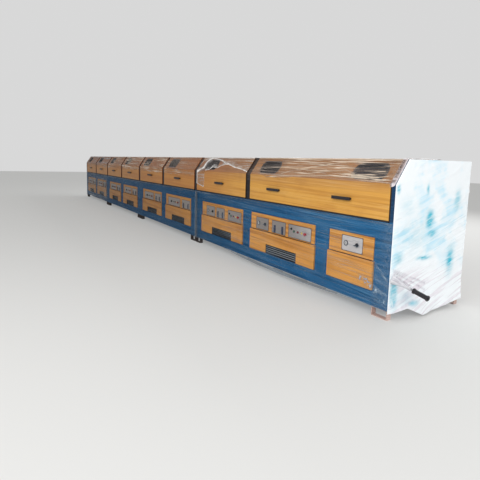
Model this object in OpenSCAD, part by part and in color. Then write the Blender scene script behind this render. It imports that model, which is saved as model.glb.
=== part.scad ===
// Straight-line wire drawing machine: four joined sections under lift-up guards.
// The front faces -Y, the near end with the narrow bay is at +X, and Z is up.

/* [Overall] */
// Depth of the housing, front to rear
machine_depth = 1200; // [1050:10:1400]
// Height of the foot tubes under the frame
foot_h = 100; // [80:5:140]
// Height of the machine table over the floor
table_z = 990; // [960:5:1040]
// Height of the lower edge of the guards
guard_z = 1011; // [1000:1:1060]
// Height where the guards start to slope back
eave_z = 1374; // [1340:5:1420]
// Height of the flat top of the guards
top_z = 1622; // [1580:5:1680]
// How far the ridge stands behind the front face
ridge_y = 168; // [120:4:220]

/* [Sections] */
// Length of the near section, with three bays
near_len = 4630; // [4500:10:4900]
// Length of each of the other three sections
section_len = 3530; // [3400:10:3800]
// Length left free at each seam between sections
seam_gap = 2; // [1:0.5:6]

/* [Frame] */
// Thickness of the front and rear walls, with their inner lips
wall_t = 14; // [12:1:20]
// Thickness of the table plate
table_t = 12; // [8:1:20]
// Thickness of the bulkheads and the bottom plate
web_t = 8; // [5:1:12]
// Depth of the step that a panel sits in
rebate_d = 8; // [6:1:9]
// Width of the lip behind each panel
lip_w = 25; // [15:1:40]
// Gap all round each panel
panel_gap = 10; // [4:1:12]

/* [Bays] */
// Height of the lower edge of the access panels
bay_z0 = 266; // [240:2:300]
// Height of the step between access panel and control panel
bay_step_z = 566; // [540:2:600]
// Height of the upper edge of the control panels
bay_z1 = 814; // [790:2:850]
// Width of the narrow bay at the near end
end_bay_w = 661; // [600:5:700]
// Width of the two other bays of the near section
near_bay_w = 1450; // [1350:10:1460]
// Width of the bays of the other sections
bay_w = 1356; // [1280:4:1380]
// Blue margin between the near end and the narrow bay
near_margin = 224; // [180:4:240]
// Blue post between the bays of the near section
near_post = 256; // [220:4:270]
// Blue margin at the near end of the other sections
bay_margin = 206; // [180:2:270]
// Blue post between the bays of the other sections
bay_post = 300; // [260:4:310]
// How far the access panels stand proud of the frame
pan_proud = 14; // [8:1:40]
// How far the access panels reach past the control panels at each side
pan_over = 12; // [6:1:16]
// Thickness of the sheet of the access panels
pan_t = 3; // [2:0.5:4]

/* [Vent grilles] */
// Width of the notch in each wide access panel
notch_w = 700; // [500:10:800]
// Height of the notch
notch_h = 130; // [90:5:160]
// Distance of the notch from the middle of its bay, towards the near end
notch_off = 40; // [0:5:100]
// Number of slats in each grille
slats = 6; // [4:1:8]
// Thickness of a slat
slat_t = 3; // [2:0.5:4]
// Angle of the slats
slat_tilt = 40; // [20:5:45]
// Clearance round each grille
grille_gap = 0.3; // [0.2:0.1:2]

/* [Guards] */
// Thickness of the guard sheet
guard_t = 3; // [2:0.5:5]
// Width of the folded edge of the guards
guard_fold = 25; // [20:1:40]
// Place of the rear edge of the guards
guard_rear_y = 880; // [820:10:900]
// Distance of the first dark post from the near end
first_post_x = 2725; // [2600:5:2800]
// Width of the dark posts between guards
post_w = 118; // [90:2:140]
// How far the dark posts stand back from the guard face
post_back = 14; // [8:1:25]
// Gap between a guard and the post beside it
guard_gap = 6; // [5:0.5:12]
// Width of the end cheeks beside the outer guards
cheek_w = 48; // [40:2:80]
// Seam between an upper end cover and the end skin under it
cover_gap = 1; // [0.5:0.5:4]
// Width of the rubber strip that runs up each cheek
strip_w = 12; // [8:1:16]
// Thickness of that strip
strip_t = 10; // [6:1:16]

/* [Screens] */
// Width of the screened window in the slope
screen_w = 470; // [380:5:480]
// Height of the window, along the slope
screen_h = 215; // [180:5:230]
// Corner radius of the window
screen_r = 90; // [60:5:95]
// Place of the window's middle, up the slope from the eave
screen_up = 142; // [135:1:150]
// Distance of a window's middle from the far edge of its guard
screen_in = 415; // [380:5:500]
// Distance of the second guard's window from its far edge
second_screen_in = 480; // [380:5:500]
// Distance of the near window's middle from the near edge of the long guard
screen_near = 341; // [310:1:420]
// Border of the screen plate behind the sheet
screen_lap = 15; // [10:1:20]
// Thickness of the screen plate
screen_t = 2; // [1.5:0.5:3]
// Height of one slot in the screen
slot_h = 11; // [8:1:14]
// Distance from slot to slot
slot_pitch = 20; // [18:1:26]

/* [Handles] */
// Length of the pull handles
handle_len = 285; // [240:5:360]
// Height of the handle bar
handle_h = 36; // [26:1:44]
// Thickness of the handle bar
handle_t = 10; // [8:1:14]
// Room for the fingers behind the bar
finger_gap = 24; // [20:1:35]
// Height of the handles over the floor
handle_z = 1185; // [1120:5:1300]
// Place of the long guard's far handle, from the guard's far edge
handle_far_in = 628; // [500:2:700]
// Place of the long guard's near handle, from its near edge
handle_near_in = 649; // [500:1:800]
// Place of the second guard's handle, from its near edge
second_handle_in = 850; // [800:5:900]

/* [Hinges] */
// Height of the hinge line over the floor
hinge_z = 1606; // [1560:1:1660]
// Hinge line, behind the rear edge of the guards
hinge_back = 20; // [16:1:30]
// Radius of the hinge pins
pin_r = 6; // [5:0.5:8]
// Running clearance round the pins
pin_gap = 0.05; // [0.02:0.01:0.1]
// Thickness of the hinge arm under the guard
arm_t = 10; // [8:1:14]
// Thickness of each hinge lug
lug_t = 8; // [6:1:12]
// Side clearance between arm and lug
lug_gap = 1; // [0.5:0.5:3]
// Distance of the outer hinges from the edges of a guard
hinge_in = 180; // [150:10:300]

/* [Rear duct] */
// Front face of the duct that runs behind the guards
duct_y = 925; // [920:5:960]
// Height of the top of the duct
duct_z = 1590; // [1540:5:1600]
// Thickness of the duct sheet
duct_t = 4; // [3:0.5:6]

/* [Drawing blocks] */
// Place of the block axes, behind the front face
block_y = 470; // [440:10:520]
// Working radius of a block
block_r = 258; // [220:2:270]
// Flange radius of a block
flange_r = 300; // [280:5:320]
// Height of a block over the table
block_h = 320; // [280:5:330]
// Radius of the throat between flange and working face
throat_r = 36; // [20:2:40]
// Distance of the near block from the near edge of the long guard
block_near_in = 574; // [500:10:700]
// Distance of the second block from the far edge of the long guard
block_far_in = 730; // [720:5:800]

/* [Die boxes] */
// Height of the wire line over the table
wire_up = 140; // [125:5:180]
// Length of a die box along the wire
die_len = 260; // [200:10:280]
// Width of a die box
die_w = 150; // [120:5:160]
// Height of a die box
die_h = 120; // [90:5:140]
// Radius of the passage for the wire
wire_hole_r = 14; // [8:1:20]
// Distance from the block axis to the middle of its die box
die_off = 560; // [480:10:580]
// Width and height of the windows for the wire in the dark posts
wire_window_w = 130; // [90:2:140]

/* [Feet] */
// Width of a foot tube
foot_w = 202; // [160:2:240]
// Wall of a foot tube
foot_t = 10; // [6:1:12]
// Length of a foot tube, front to rear
foot_d = 60; // [40:5:200]
// Distance of a foot tube from the end of its section
foot_in = 14; // [8:1:60]
// Distance of the feet from the front and rear faces of the machine
foot_back = 10; // [0:1:30]

/* [Control plates] */
// Height of the lower edge of the instrument plates
plate_z = 588; // [580:1:610]
// How much higher the plate of the narrow bay sits
end_plate_up = 20; // [0:2:30]
// Height of the instrument plates
plate_h = 172; // [150:2:190]
// Thickness of the instrument plates
plate_t = 3; // [2:0.5:4]
// Radius of the switch knobs
knob_r = 24; // [14:1:28]
// Radius of the small selector knobs
selector_r = 14; // [10:1:18]
// Reach of the switch knobs
knob_out = 24; // [14:1:28]
// Radius of the push buttons
button_r = 13; // [9:1:16]
// Reach of the push buttons
button_out = 12; // [8:1:20]
// Distance between the push buttons
button_pitch = 79; // [70:1:96]
// Radius of the stop button's head
stop_r = 22; // [17:1:30]
// Reach of the stop buttons
stop_out = 30; // [22:1:34]
// Radius of the gauges
gauge_r = 30; // [24:1:40]
// Width of a breaker lever
breaker_w = 36; // [26:2:44]
// Height of a breaker lever
breaker_h = 104; // [90:2:130]

/* [End lever] */
// Height of the lever's boss
lever_z = 424; // [340:4:440]
// Place of the lever behind the front face
lever_y = 45; // [40:5:100]
// Radius of the lever rod
lever_r = 13; // [9:1:18]
// Length of the rod
lever_len = 225; // [200:5:320]
// Length of the grip
grip_len = 170; // [120:5:200]
// Radius of the grip
grip_r = 22; // [16:1:28]
// Slope of the lever, down from level
lever_droop = 11; // [0:1:30]

/* [Hidden] */
$fn = 48;

// Faces run through by a cut end this far outside it
cut = 1;
blue = [0.26, 0.43, 0.61];
yellow = [0.84, 0.62, 0.30];
black = [0.07, 0.07, 0.08];
plate_grey = [0.74, 0.72, 0.70];
steel = [0.62, 0.63, 0.65];

// Sections, as near end and length
sec_near = [0, -near_len, -near_len - section_len, -near_len - 2 * section_len];
sec_len = [near_len, section_len, section_len, section_len];
machine_len = near_len + 3 * section_len;

// Bays, as near edge, width and section
near_bays = [
  [-near_margin, end_bay_w, 0],
  [-near_margin - end_bay_w - near_post, near_bay_w, 0],
  [-near_margin - end_bay_w - 2 * near_post - near_bay_w, near_bay_w, 0]
];
far_bays = [for (s = [1:3], b = [0:1]) [sec_near[s] - bay_margin - b * (bay_w + bay_post), bay_w, s]];
bays = concat(near_bays, far_bays);

// Middles of the dark posts, and the free widths between them
posts = concat([-first_post_x], [for (s = [1:3], h = [0:1]) sec_near[s] - h * section_len / 2]);
guards = [for (i = [0:7]) [
  i == 0 ? -cheek_w - strip_w - guard_gap : posts[i - 1] - post_w / 2 - guard_gap,
  i == 7 ? -machine_len + cheek_w + strip_w + guard_gap : posts[i] + post_w / 2 + guard_gap
]];
function guard_mid(i) = (guards[i][0] + guards[i][1]) / 2;

// The guard profile set back by t, from its own front, slope and top
rise = top_z - eave_z;
slope_len = norm([ridge_y, rise]);
slope_angle = atan2(rise, ridge_y);
function inner_eave(t) = eave_z - t * (1 - rise / slope_len) * slope_len / ridge_y;
function inner_ridge(t) = (t + (rise - t) * ridge_y / slope_len) * slope_len / rise;
function profile(t, low, rear) = [
  [t, low], [t, inner_eave(t)], [inner_ridge(t), top_z - t], [rear, top_z - t]
];
function back(list) = [for (i = [len(list) - 1:-1:0]) list[i]];

hinge_y = guard_rear_y + hinge_back;
guard_hinges = [for (i = [0:7]) i == 0
  ? [guards[i][0] - hinge_in, guard_mid(i), guards[i][1] + hinge_in]
  : [guards[i][0] - hinge_in, guards[i][1] + hinge_in]];
handles = [for (i = [0:7]) i == 0
  ? [guards[i][0] - handle_near_in, guards[i][1] + handle_far_in]
  : [i == 1 ? guards[i][0] - second_handle_in : guard_mid(i)]];
screens = [for (i = [0:7]) i == 0
  ? [guards[i][0] - screen_near, guards[i][1] + screen_in]
  : [guards[i][1] + (i == 1 ? second_screen_in : screen_in)]];
near_blocks = [guards[0][0] - block_near_in, guards[0][1] + block_far_in];
blocks = concat(near_blocks, [for (i = [1:7]) guard_mid(i)]);
wire_y = block_y - block_r;
wire_z = table_z + wire_up;

// Instrument plates of each kind of bay, as distance from the bay's near edge and width
end_plates = [[149, 307]];
near_plates = [[67, 457], [592, 311], [992, 313]];
mid_plates = [[40, 431], [596, 290], [942, 330]];
far_plates = [[40, 400], [545, 660]];
function plates_of(b) = b == 0 ? end_plates : b == 1 ? near_plates : b == 2 ? mid_plates : far_plates;
function last_plate(b) = len(plates_of(b)) - 1;
function plate_w(b, p) = plates_of(b)[p][1];
function plate_mid_z(b) = plate_z + plate_h / 2 + (b == 0 ? end_plate_up : 0);

// Overall reach, which puts the origin on the floor under the middle of the whole
lever_root = 22;
collar_r = 1.25 * grip_r;
collar_t = 12;
tip_r = grip_r / 2;
tip_t = 10;
lever_reach = lever_root + max(
  (lever_len + grip_len) * cos(lever_droop) + tip_r * sin(lever_droop),
  (lever_len + grip_len - tip_t) * cos(lever_droop) + collar_r * sin(lever_droop));
handle_reach = finger_gap + handle_t;
front_reach = max(handle_reach, pan_proud, plate_t + stop_out, plate_t + knob_out);
shift = [(machine_len - lever_reach) / 2, (front_reach - machine_depth) / 2, 0];

module place() {
  translate(shift) children();
}

// A box given by its lowest and highest corners
module block(low, high) {
  translate(low) cube(high - low);
}

// A flat outline in Y and Z, drawn along X from x0 to x1
module along_x(x0, x1) {
  translate([x0, 0, 0]) rotate([90, 0, 90]) linear_extrude(x1 - x0) children();
}

module rounded(w, h, r) {
  square([w - 2 * r, h], center = true);
  square([w, h - 2 * r], center = true);
  for (x = [-1, 1], y = [-1, 1]) translate([x * (w / 2 - r), y * (h / 2 - r)]) circle(r);
}

// Puts a drawing on the slope, with its own Y up the slope and Z outwards
module on_slope(x, up) {
  translate([x, up * cos(slope_angle), eave_z + up * sin(slope_angle)])
    rotate([slope_angle, 0, 0]) children();
}

// Guard: one folded sheet, its end folds, its lower fold and its hinge arms
module guard(i) {
  near = guards[i][0];
  far = guards[i][1];
  color(yellow) place() {
    difference() {
      union() {
        along_x(far, near) polygon(concat(profile(0, guard_z, guard_rear_y),
          back(profile(guard_t, guard_z, guard_rear_y))));
        for (x = [far, near - guard_t]) along_x(x, x + guard_t)
          polygon(concat(profile(0, guard_z, guard_rear_y),
            back(profile(guard_fold, guard_z, guard_rear_y))));
        block([far, 0, guard_z], [near, guard_fold, guard_z + guard_t]);
      }
      for (x = screens[i]) on_slope(x, screen_up)
        translate([0, 0, -2 * guard_t]) linear_extrude(4 * guard_t) rounded(screen_w, screen_h, screen_r);
    }
    for (x = guard_hinges[i]) hinge_arm(x);
  }
}

module hinge_arm(x) {
  arm_len = 90;
  along_x(x - arm_t / 2, x + arm_t / 2) difference() {
    union() {
      translate([hinge_y, hinge_z]) circle(2 * pin_r);
      translate([hinge_y - arm_len, hinge_z - pin_r]) square([arm_len, 2 * pin_r]);
      translate([hinge_y - arm_len, hinge_z]) square([arm_len - hinge_back, top_z - guard_t - hinge_z]);
    }
    translate([hinge_y, hinge_z]) circle(pin_r + pin_gap);
  }
}

module guard_handles(i) {
  color(black) place() for (x = handles[i]) translate([x, 0, handle_z]) rotate([90, 0, 0]) {
    translate([0, 0, finger_gap]) linear_extrude(handle_t)
      rounded(handle_len, handle_h, handle_h / 2 - cut);
    for (side = [-1, 1]) translate([side * (handle_len - handle_h) / 2, 0, 0])
      cylinder(r = handle_h / 3, h = finger_gap);
  }
}

// Screen: a plate behind the window, slotted from side to side
module guard_screens(i) {
  rows = floor((screen_h - 2 * slot_pitch) / slot_pitch);
  color(black) place() for (x = screens[i]) on_slope(x, screen_up)
    translate([0, 0, -guard_t - screen_t]) linear_extrude(screen_t) difference() {
      rounded(screen_w + 2 * screen_lap, screen_h + 2 * screen_lap, screen_r + screen_lap);
      for (k = [0:rows]) translate([0, (k - rows / 2) * slot_pitch])
        square([slot_width((k - rows / 2) * slot_pitch), slot_h], center = true);
    }
}

// Slots follow the rounded ends of the window
function slot_width(y) = screen_w - 2 * slot_pitch - 2 * screen_r
  + 2 * sqrt(screen_r ^ 2 - max(0, abs(y) - screen_h / 2 + screen_r) ^ 2);

// Base frame: a closed box with a bulkhead in each post and a stepped opening for each panel
module base_frame(s) {
  near = sec_near[s] - (s == 0 ? web_t : seam_gap / 2);
  far = sec_near[s] - sec_len[s] + (s == 3 ? web_t : seam_gap / 2);
  own = [for (b = bays) if (b[2] == s) b];
  last = len(own) - 1;
  color(blue) place() difference() {
    block([far, 0, foot_h], [near, machine_depth, table_z]);
    for (k = [0:last]) {
      hi = k == 0 ? near : (own[k][0] + own[k - 1][0] - own[k - 1][1]) / 2;
      lo = k == last ? far : (own[k][0] - own[k][1] + own[k + 1][0]) / 2;
      block([lo + web_t, wall_t, foot_h + web_t], [hi - web_t, machine_depth - wall_t, table_z - table_t]);
      panel_opening(own[k]);
    }
  }
}

module panel_opening(b) {
  g = panel_gap;
  far = b[0] - b[1];
  block([far - pan_over - g, -cut, bay_z0 - g], [b[0] + pan_over + g, rebate_d, bay_step_z + g]);
  for (y = [-cut, machine_depth - rebate_d])
    block([far - g, y, bay_z0 - g], [b[0] + g, y + rebate_d + cut, bay_z1 + g]);
  for (y = [-cut, machine_depth - wall_t - cut])
    block([far + lip_w, y, bay_z0 + lip_w], [b[0] - lip_w, y + wall_t + 2 * cut, bay_z1 - lip_w]);
}

// Duct behind the guards, open below on the table
module rear_duct() {
  color(blue) place() for (s = [0:3]) {
    near = sec_near[s] - (s == 0 ? cheek_w : seam_gap / 2);
    far = sec_near[s] - sec_len[s] + (s == 3 ? cheek_w : seam_gap / 2);
    difference() {
      block([far, duct_y, table_z], [near, machine_depth, duct_z]);
      block([far + duct_t, duct_y + duct_t, table_z - cut],
        [near - duct_t, machine_depth - duct_t, duct_z - duct_t]);
    }
  }
}

module rear_panels() {
  color(yellow) place() for (b = bays)
    block([b[0] - b[1], machine_depth - rebate_d, bay_z0], [b[0], machine_depth, bay_z1]);
}

// End panel: a skin on the base frame, and a folded cover above it beside the guard
module end_panel() {
  outline = concat(profile(0, table_z, machine_depth), [[machine_depth, table_z]]);
  inside = concat(profile(guard_t, table_z - cut, machine_depth - guard_t),
    [[machine_depth - guard_t, table_z - cut]]);
  block([-web_t, 0, foot_h], [0, machine_depth, table_z - cover_gap]);
  difference() {
    along_x(-cheek_w, 0) polygon(outline);
    along_x(-cheek_w - cut, -web_t) polygon(inside);
    translate([-web_t - cut, wire_y, wire_z]) rotate([0, 90, 0])
      cylinder(r = 2 * wire_hole_r, h = web_t + 2 * cut);
  }
}

module end_panels() {
  color(blue) place() {
    end_panel();
    translate([-machine_len, 0, 0]) mirror([1, 0, 0]) end_panel();
  }
}

// Dark posts: hollow partitions with a window for the wire
module partitions() {
  low = table_z;
  rear = duct_y;
  color(black) place() for (x = posts) difference() {
    along_x(x - post_w / 2, x + post_w / 2)
      polygon(concat(profile(post_back, low, rear), [[rear, low]]));
    along_x(x - post_w / 2 + guard_t, x + post_w / 2 - guard_t)
      polygon(concat(profile(post_back + guard_t, low - cut, rear - guard_t),
        [[rear - guard_t, low - cut]]));
    translate([x - post_w, wire_y, wire_z]) rotate([0, 90, 0]) linear_extrude(2 * post_w)
      square(wire_window_w, center = true);
  }
}

// Rubber strips: one under each guard, and one up each cheek beside the outer guards
module seal_strips() {
  seal_in = 2;
  color(black) place() {
    for (g = guards)
      block([g[1] + guard_gap, seal_in, table_z], [g[0] - guard_gap, guard_fold - seal_in, guard_z]);
    cheek_strip();
    translate([-machine_len, 0, 0]) mirror([1, 0, 0]) cheek_strip();
  }
}

module cheek_strip() {
  inset = guard_t / 3;
  joint = guard_t / 6;
  outer = profile(inset, table_z, guard_rear_y);
  inner = profile(inset + strip_t, table_z, guard_rear_y);
  for (i = [0:2])
    along_x(-cheek_w - strip_w, -cheek_w) offset(delta = -joint)
      polygon([outer[i], outer[i + 1], inner[i + 1], inner[i]]);
}

module control_panels() {
  color(yellow) place() for (b = bays)
    block([b[0] - b[1], 0, bay_step_z + panel_gap], [b[0], rebate_d, bay_z1]);
}

// Access panel: a folded pan, notched at its lower edge for the vent
module access_panels() {
  color(yellow) place() for (k = [0:len(bays) - 1]) {
    b = bays[k];
    difference() {
      pan_outline(b, k, 0, -pan_proud, rebate_d);
      pan_outline(b, k, pan_t, -pan_proud + pan_t, rebate_d + cut);
    }
  }
}

module pan_outline(b, k, t, y0, y1) {
  difference() {
    block([b[0] - b[1] - pan_over + t, y0, bay_z0 + t], [b[0] + pan_over - t, y1, bay_step_z - t]);
    if (k > 0) block([notch_x(b) - notch_w / 2 - t, y0 - cut, bay_z0 - cut],
      [notch_x(b) + notch_w / 2 + t, y1 + cut, bay_z0 + notch_h + t]);
  }
}

function notch_x(b) = b[0] - b[1] / 2 + notch_off;

// Vent grille: a border and tilted slats, seated in the notch
module vent_grilles() {
  w = notch_w - 2 * grille_gap;
  h = notch_h - grille_gap;
  rim = 10;
  slat_w = rebate_d + rebate_d;
  color(black) place() for (k = [1:len(bays) - 1]) translate([notch_x(bays[k]), 0, bay_z0]) {
    difference() {
      block([-w / 2, -rebate_d, 0], [w / 2, rebate_d, h]);
      block([-w / 2 + rim, -rebate_d - cut, rim], [w / 2 - rim, rebate_d + cut, h - rim]);
    }
    intersection() {
      for (n = [0:slats - 1]) translate([0, 0, rim + (n + 0.5) * (h - 2 * rim) / slats])
        rotate([slat_tilt, 0, 0]) cube([w - rim, slat_w + slat_t, slat_t], center = true);
      block([-w / 2 + rim / 2, -rebate_d, rim / 2], [w / 2 - rim / 2, rebate_d, h - rim / 2]);
    }
  }
}

// Runs its children at the middle of plate p of bay b, on the plate's face
module at_plate(b, p) {
  spec = plates_of(b)[p];
  translate([bays[b][0] - spec[0] - spec[1] / 2, -plate_t, plate_mid_z(b)]) children();
}

module instrument_plates() {
  color(plate_grey) place() for (b = [0:len(bays) - 1], p = [0:len(plates_of(b)) - 1]) at_plate(b, p)
    block([-plate_w(b, p) / 2, 0, -plate_h / 2], [plate_w(b, p) / 2, plate_t, plate_h / 2]);
}

// Knob: a round skirt, a boss and a pointer bar to the far side
module knob(r) {
  bar_w = r * 2 / 3;
  skirt_t = knob_out / 3;
  rotate([90, 0, 0]) {
    cylinder(r = r, h = skirt_t);
    cylinder(r = r * 0.8, h = knob_out);
    rotate([0, 0, 190]) translate([0, -bar_w / 2, skirt_t]) cube([r * 1.7, bar_w, knob_out - skirt_t]);
  }
}

module switch_knobs() {
  color(black) place() {
    for (b = [0:2]) at_plate(b, last_plate(b)) translate([plate_w(b, last_plate(b)) * 0.24, 0, 0])
      knob(knob_r);
    for (b = [1, 2]) at_plate(b, 0) translate([-plate_w(b, 0) * 0.36, 0, plate_h / 6]) knob(selector_r);
    for (b = [3:len(bays) - 1]) at_plate(b, 1) translate([-plate_w(b, 1) * 0.21, 0, 0]) knob(knob_r);
  }
}

module push_buttons() {
  color("darkgreen") place() {
    for (b = [1, 2], n = [0:2]) at_plate(b, 0) translate([(n - 1.4) * button_pitch, 0, 0]) button();
    for (b = [3:len(bays) - 1], n = [0:2]) at_plate(b, 1) translate([n * button_pitch, 0, 0]) button();
  }
}

// Push button: a collar and a cap
module button() {
  collar_w = 3;
  rotate([90, 0, 0]) {
    cylinder(r = button_r + collar_w, h = button_out / 3);
    cylinder(r = button_r, h = button_out);
  }
}

// Stop buttons, at the near end of each row of push buttons
module stop_buttons() {
  color("firebrick") place() {
    for (b = [1, 2]) at_plate(b, 0) translate([1.6 * button_pitch, 0, 0]) stop_button();
    for (b = [3:len(bays) - 1]) at_plate(b, 1) translate([3 * button_pitch, 0, 0]) stop_button();
  }
}

// Stop button: a stem under a wide rounded head
module stop_button() {
  rotate([90, 0, 0]) rotate_extrude() polygon([
    [0, 0], [stop_r * 0.7, 0], [stop_r * 0.7, stop_out / 2], [stop_r, stop_out * 0.6],
    [stop_r, stop_out * 0.8], [stop_r * 0.8, stop_out], [0, stop_out]
  ]);
}

// Gauge: a shallow bezel round a sunk dial
module gauges() {
  bezel_out = 8;
  bezel_w = 4;
  dial_out = 4;
  color("white") place() for (b = [0:2]) at_plate(b, last_plate(b))
    translate([-plate_w(b, last_plate(b)) * 0.29, 0, 0])
      rotate([90, 0, 0]) rotate_extrude() polygon([
        [0, 0], [gauge_r, 0], [gauge_r, bezel_out], [gauge_r - bezel_w, bezel_out],
        [gauge_r - bezel_w, dial_out], [0, dial_out]
      ]);
}

// Breakers: a tall body and a handle, two on one plate of each wide bay
module breakers() {
  body_out = 8;
  handle_out = 20;
  drop = plate_h / 6;
  color("slategray") place() for (b = [1:len(bays) - 1], side = [-1, 1]) {
    p = b < 3 ? 1 : 0;
    at_plate(b, p) translate([side * plate_w(b, p) * 0.285, 0, -drop]) {
      block([-breaker_w / 2, -body_out, -breaker_h / 2], [breaker_w / 2, 0, breaker_h / 2]);
      block([-breaker_w / 3, -handle_out, -breaker_h / 5], [breaker_w / 3, -body_out, breaker_h / 3]);
    }
  }
}

// Drawing block: plinth, flange, throat, tapered working face, rim, sunk web and hub
module drawing_block() {
  plinth_h = 35;
  flange_t = 24;
  taper = 6;
  rim_w = 24;
  rim_h = 24;
  bevel = 8;
  web_sink = 40;
  hub_r = 90;
  z1 = plinth_h + flange_t;
  throat = [for (a = [0:15:90]) [block_r + throat_r * (1 - sin(a)), z1 + throat_r * (1 - cos(a))]];
  rotate_extrude($fn = 96) polygon(concat(
    [[0, 0], [flange_r * 0.75, 0], [flange_r * 0.75, plinth_h], [flange_r, plinth_h], [flange_r, z1]],
    throat,
    [[block_r - taper, block_h - rim_h - taper], [block_r, block_h - rim_h], [block_r, block_h - bevel],
      [block_r - bevel, block_h], [block_r - rim_w, block_h], [block_r - rim_w, block_h - web_sink],
      [hub_r, block_h - web_sink], [hub_r, block_h - bevel], [hub_r - bevel, block_h], [0, block_h]]));
}

module drawing_blocks() {
  color(steel) place() for (x = blocks) translate([x, block_y, table_z]) drawing_block();
}

// Die box: a pedestal, a box with funnels at both ends and a lid with a knob
module die_box() {
  lid_t = 12;
  lid_in = 8;
  lid_lap = 6;
  lid_knob_r = 16;
  funnel_len = 25;
  difference() {
    union() {
      block([-die_len / 4, -die_w / 4, -wire_up], [die_len / 4, die_w / 4, 0]);
      block([-die_len / 2, -die_w / 2, -die_h / 2], [die_len / 2, die_w / 2, die_h / 2]);
      block([-die_len / 2 + lid_in, -die_w / 2 - lid_lap, die_h / 2],
        [die_len / 2 - lid_in, die_w / 2, die_h / 2 + lid_t]);
      translate([0, 0, die_h / 2 + lid_t]) cylinder(r = lid_knob_r, h = 2 * lid_t);
      for (side = [0, 1]) mirror([side, 0, 0]) translate([die_len / 2, 0, 0])
        rotate([0, 90, 0]) cylinder(r1 = 2 * wire_hole_r, r2 = 3 * wire_hole_r, h = funnel_len);
    }
    translate([-die_len, 0, 0]) rotate([0, 90, 0]) cylinder(r = wire_hole_r, h = 2 * die_len);
  }
}

module die_boxes() {
  color([0.30, 0.32, 0.34]) place() for (x = blocks) translate([x - die_off, wire_y, wire_z]) die_box();
}

// Hinge bracket: two lugs on the duct and the pin between them
module hinge_bracket(x) {
  inner = arm_t / 2 + lug_gap;
  outer = inner + lug_t;
  foot_len = 30;
  for (side = [0, 1]) translate([x, 0, 0]) mirror([side, 0, 0]) along_x(inner, outer) {
    translate([hinge_y, hinge_z]) circle(2 * pin_r);
    translate([hinge_y, hinge_z - pin_r]) square([duct_y - hinge_y + foot_len, 2 * pin_r]);
    translate([duct_y, duct_z]) square([foot_len, hinge_z - duct_z]);
  }
  translate([x - outer, hinge_y, hinge_z]) rotate([0, 90, 0]) cylinder(r = pin_r, h = 2 * outer);
}

module hinge_brackets() {
  color(steel) place() for (list = guard_hinges, x = list) hinge_bracket(x);
}

// Foot tubes: short open tubes under the front and rear at both ends of each section
module foot_tubes() {
  rows = [foot_back, machine_depth - foot_back - foot_d];
  color([0.62, 0.42, 0.38]) place() for (s = [0:3], end = [0, 1], y = rows) {
    x = end == 0 ? sec_near[s] - foot_in - foot_w : sec_near[s] - sec_len[s] + foot_in;
    difference() {
      block([x, y, 0], [x + foot_w, y + foot_d, foot_h]);
      block([x + foot_t, y - cut, foot_t], [x + foot_w - foot_t, y + foot_d + cut, foot_h - foot_t]);
    }
  }
}

// Lever at the near end: a boss on the end panel and a rod that slopes out and down
module end_lever() {
  color(steel) place() translate([0, lever_y, lever_z]) {
    rotate([0, 90, 0]) cylinder(r = 2 * lever_r, h = lever_root + lever_r);
    translate([lever_root, 0, 0]) rotate([0, 90 + lever_droop, 0]) cylinder(r = lever_r, h = lever_len);
  }
}

// Grip: a sleeve between two collars, with the rod's tip past the last one
module lever_grip() {
  color(black) place() translate([lever_root, lever_y, lever_z]) rotate([0, 90 + lever_droop, 0])
    translate([0, 0, lever_len]) rotate_extrude() polygon([
      [0, 0], [collar_r, 0], [collar_r, collar_t], [grip_r, collar_t],
      [grip_r, grip_len - tip_t - collar_t], [collar_r, grip_len - tip_t - collar_t],
      [collar_r, grip_len - tip_t], [tip_r, grip_len - tip_t], [tip_r, grip_len], [0, grip_len]
    ]);
}

guard(0);  // guard_1
guard_handles(0);  // guard_1_handles
guard_screens(0);  // guard_1_screens
guard(1);  // guard_2
guard_handles(1);  // guard_2_handles
guard_screens(1);  // guard_2_screens
guard(2);  // guard_3
guard_handles(2);  // guard_3_handles
guard_screens(2);  // guard_3_screens
guard(3);  // guard_4
guard_handles(3);  // guard_4_handles
guard_screens(3);  // guard_4_screens
guard(4);  // guard_5
guard_handles(4);  // guard_5_handles
guard_screens(4);  // guard_5_screens
guard(5);  // guard_6
guard_handles(5);  // guard_6_handles
guard_screens(5);  // guard_6_screens
guard(6);  // guard_7
guard_handles(6);  // guard_7_handles
guard_screens(6);  // guard_7_screens
guard(7);  // guard_8
guard_handles(7);  // guard_8_handles
guard_screens(7);  // guard_8_screens
base_frame(0);  // base_frame_1
base_frame(1);  // base_frame_2
base_frame(2);  // base_frame_3
base_frame(3);  // base_frame_4
rear_duct();
rear_panels();
end_panels();
partitions();
seal_strips();
control_panels();
access_panels();
vent_grilles();
instrument_plates();
switch_knobs();
push_buttons();
stop_buttons();
gauges();
breakers();
drawing_blocks();
die_boxes();
hinge_brackets();
foot_tubes();
end_lever();
lever_grip();
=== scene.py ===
import math

import bpy
from mathutils import Matrix, Vector, noise


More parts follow.
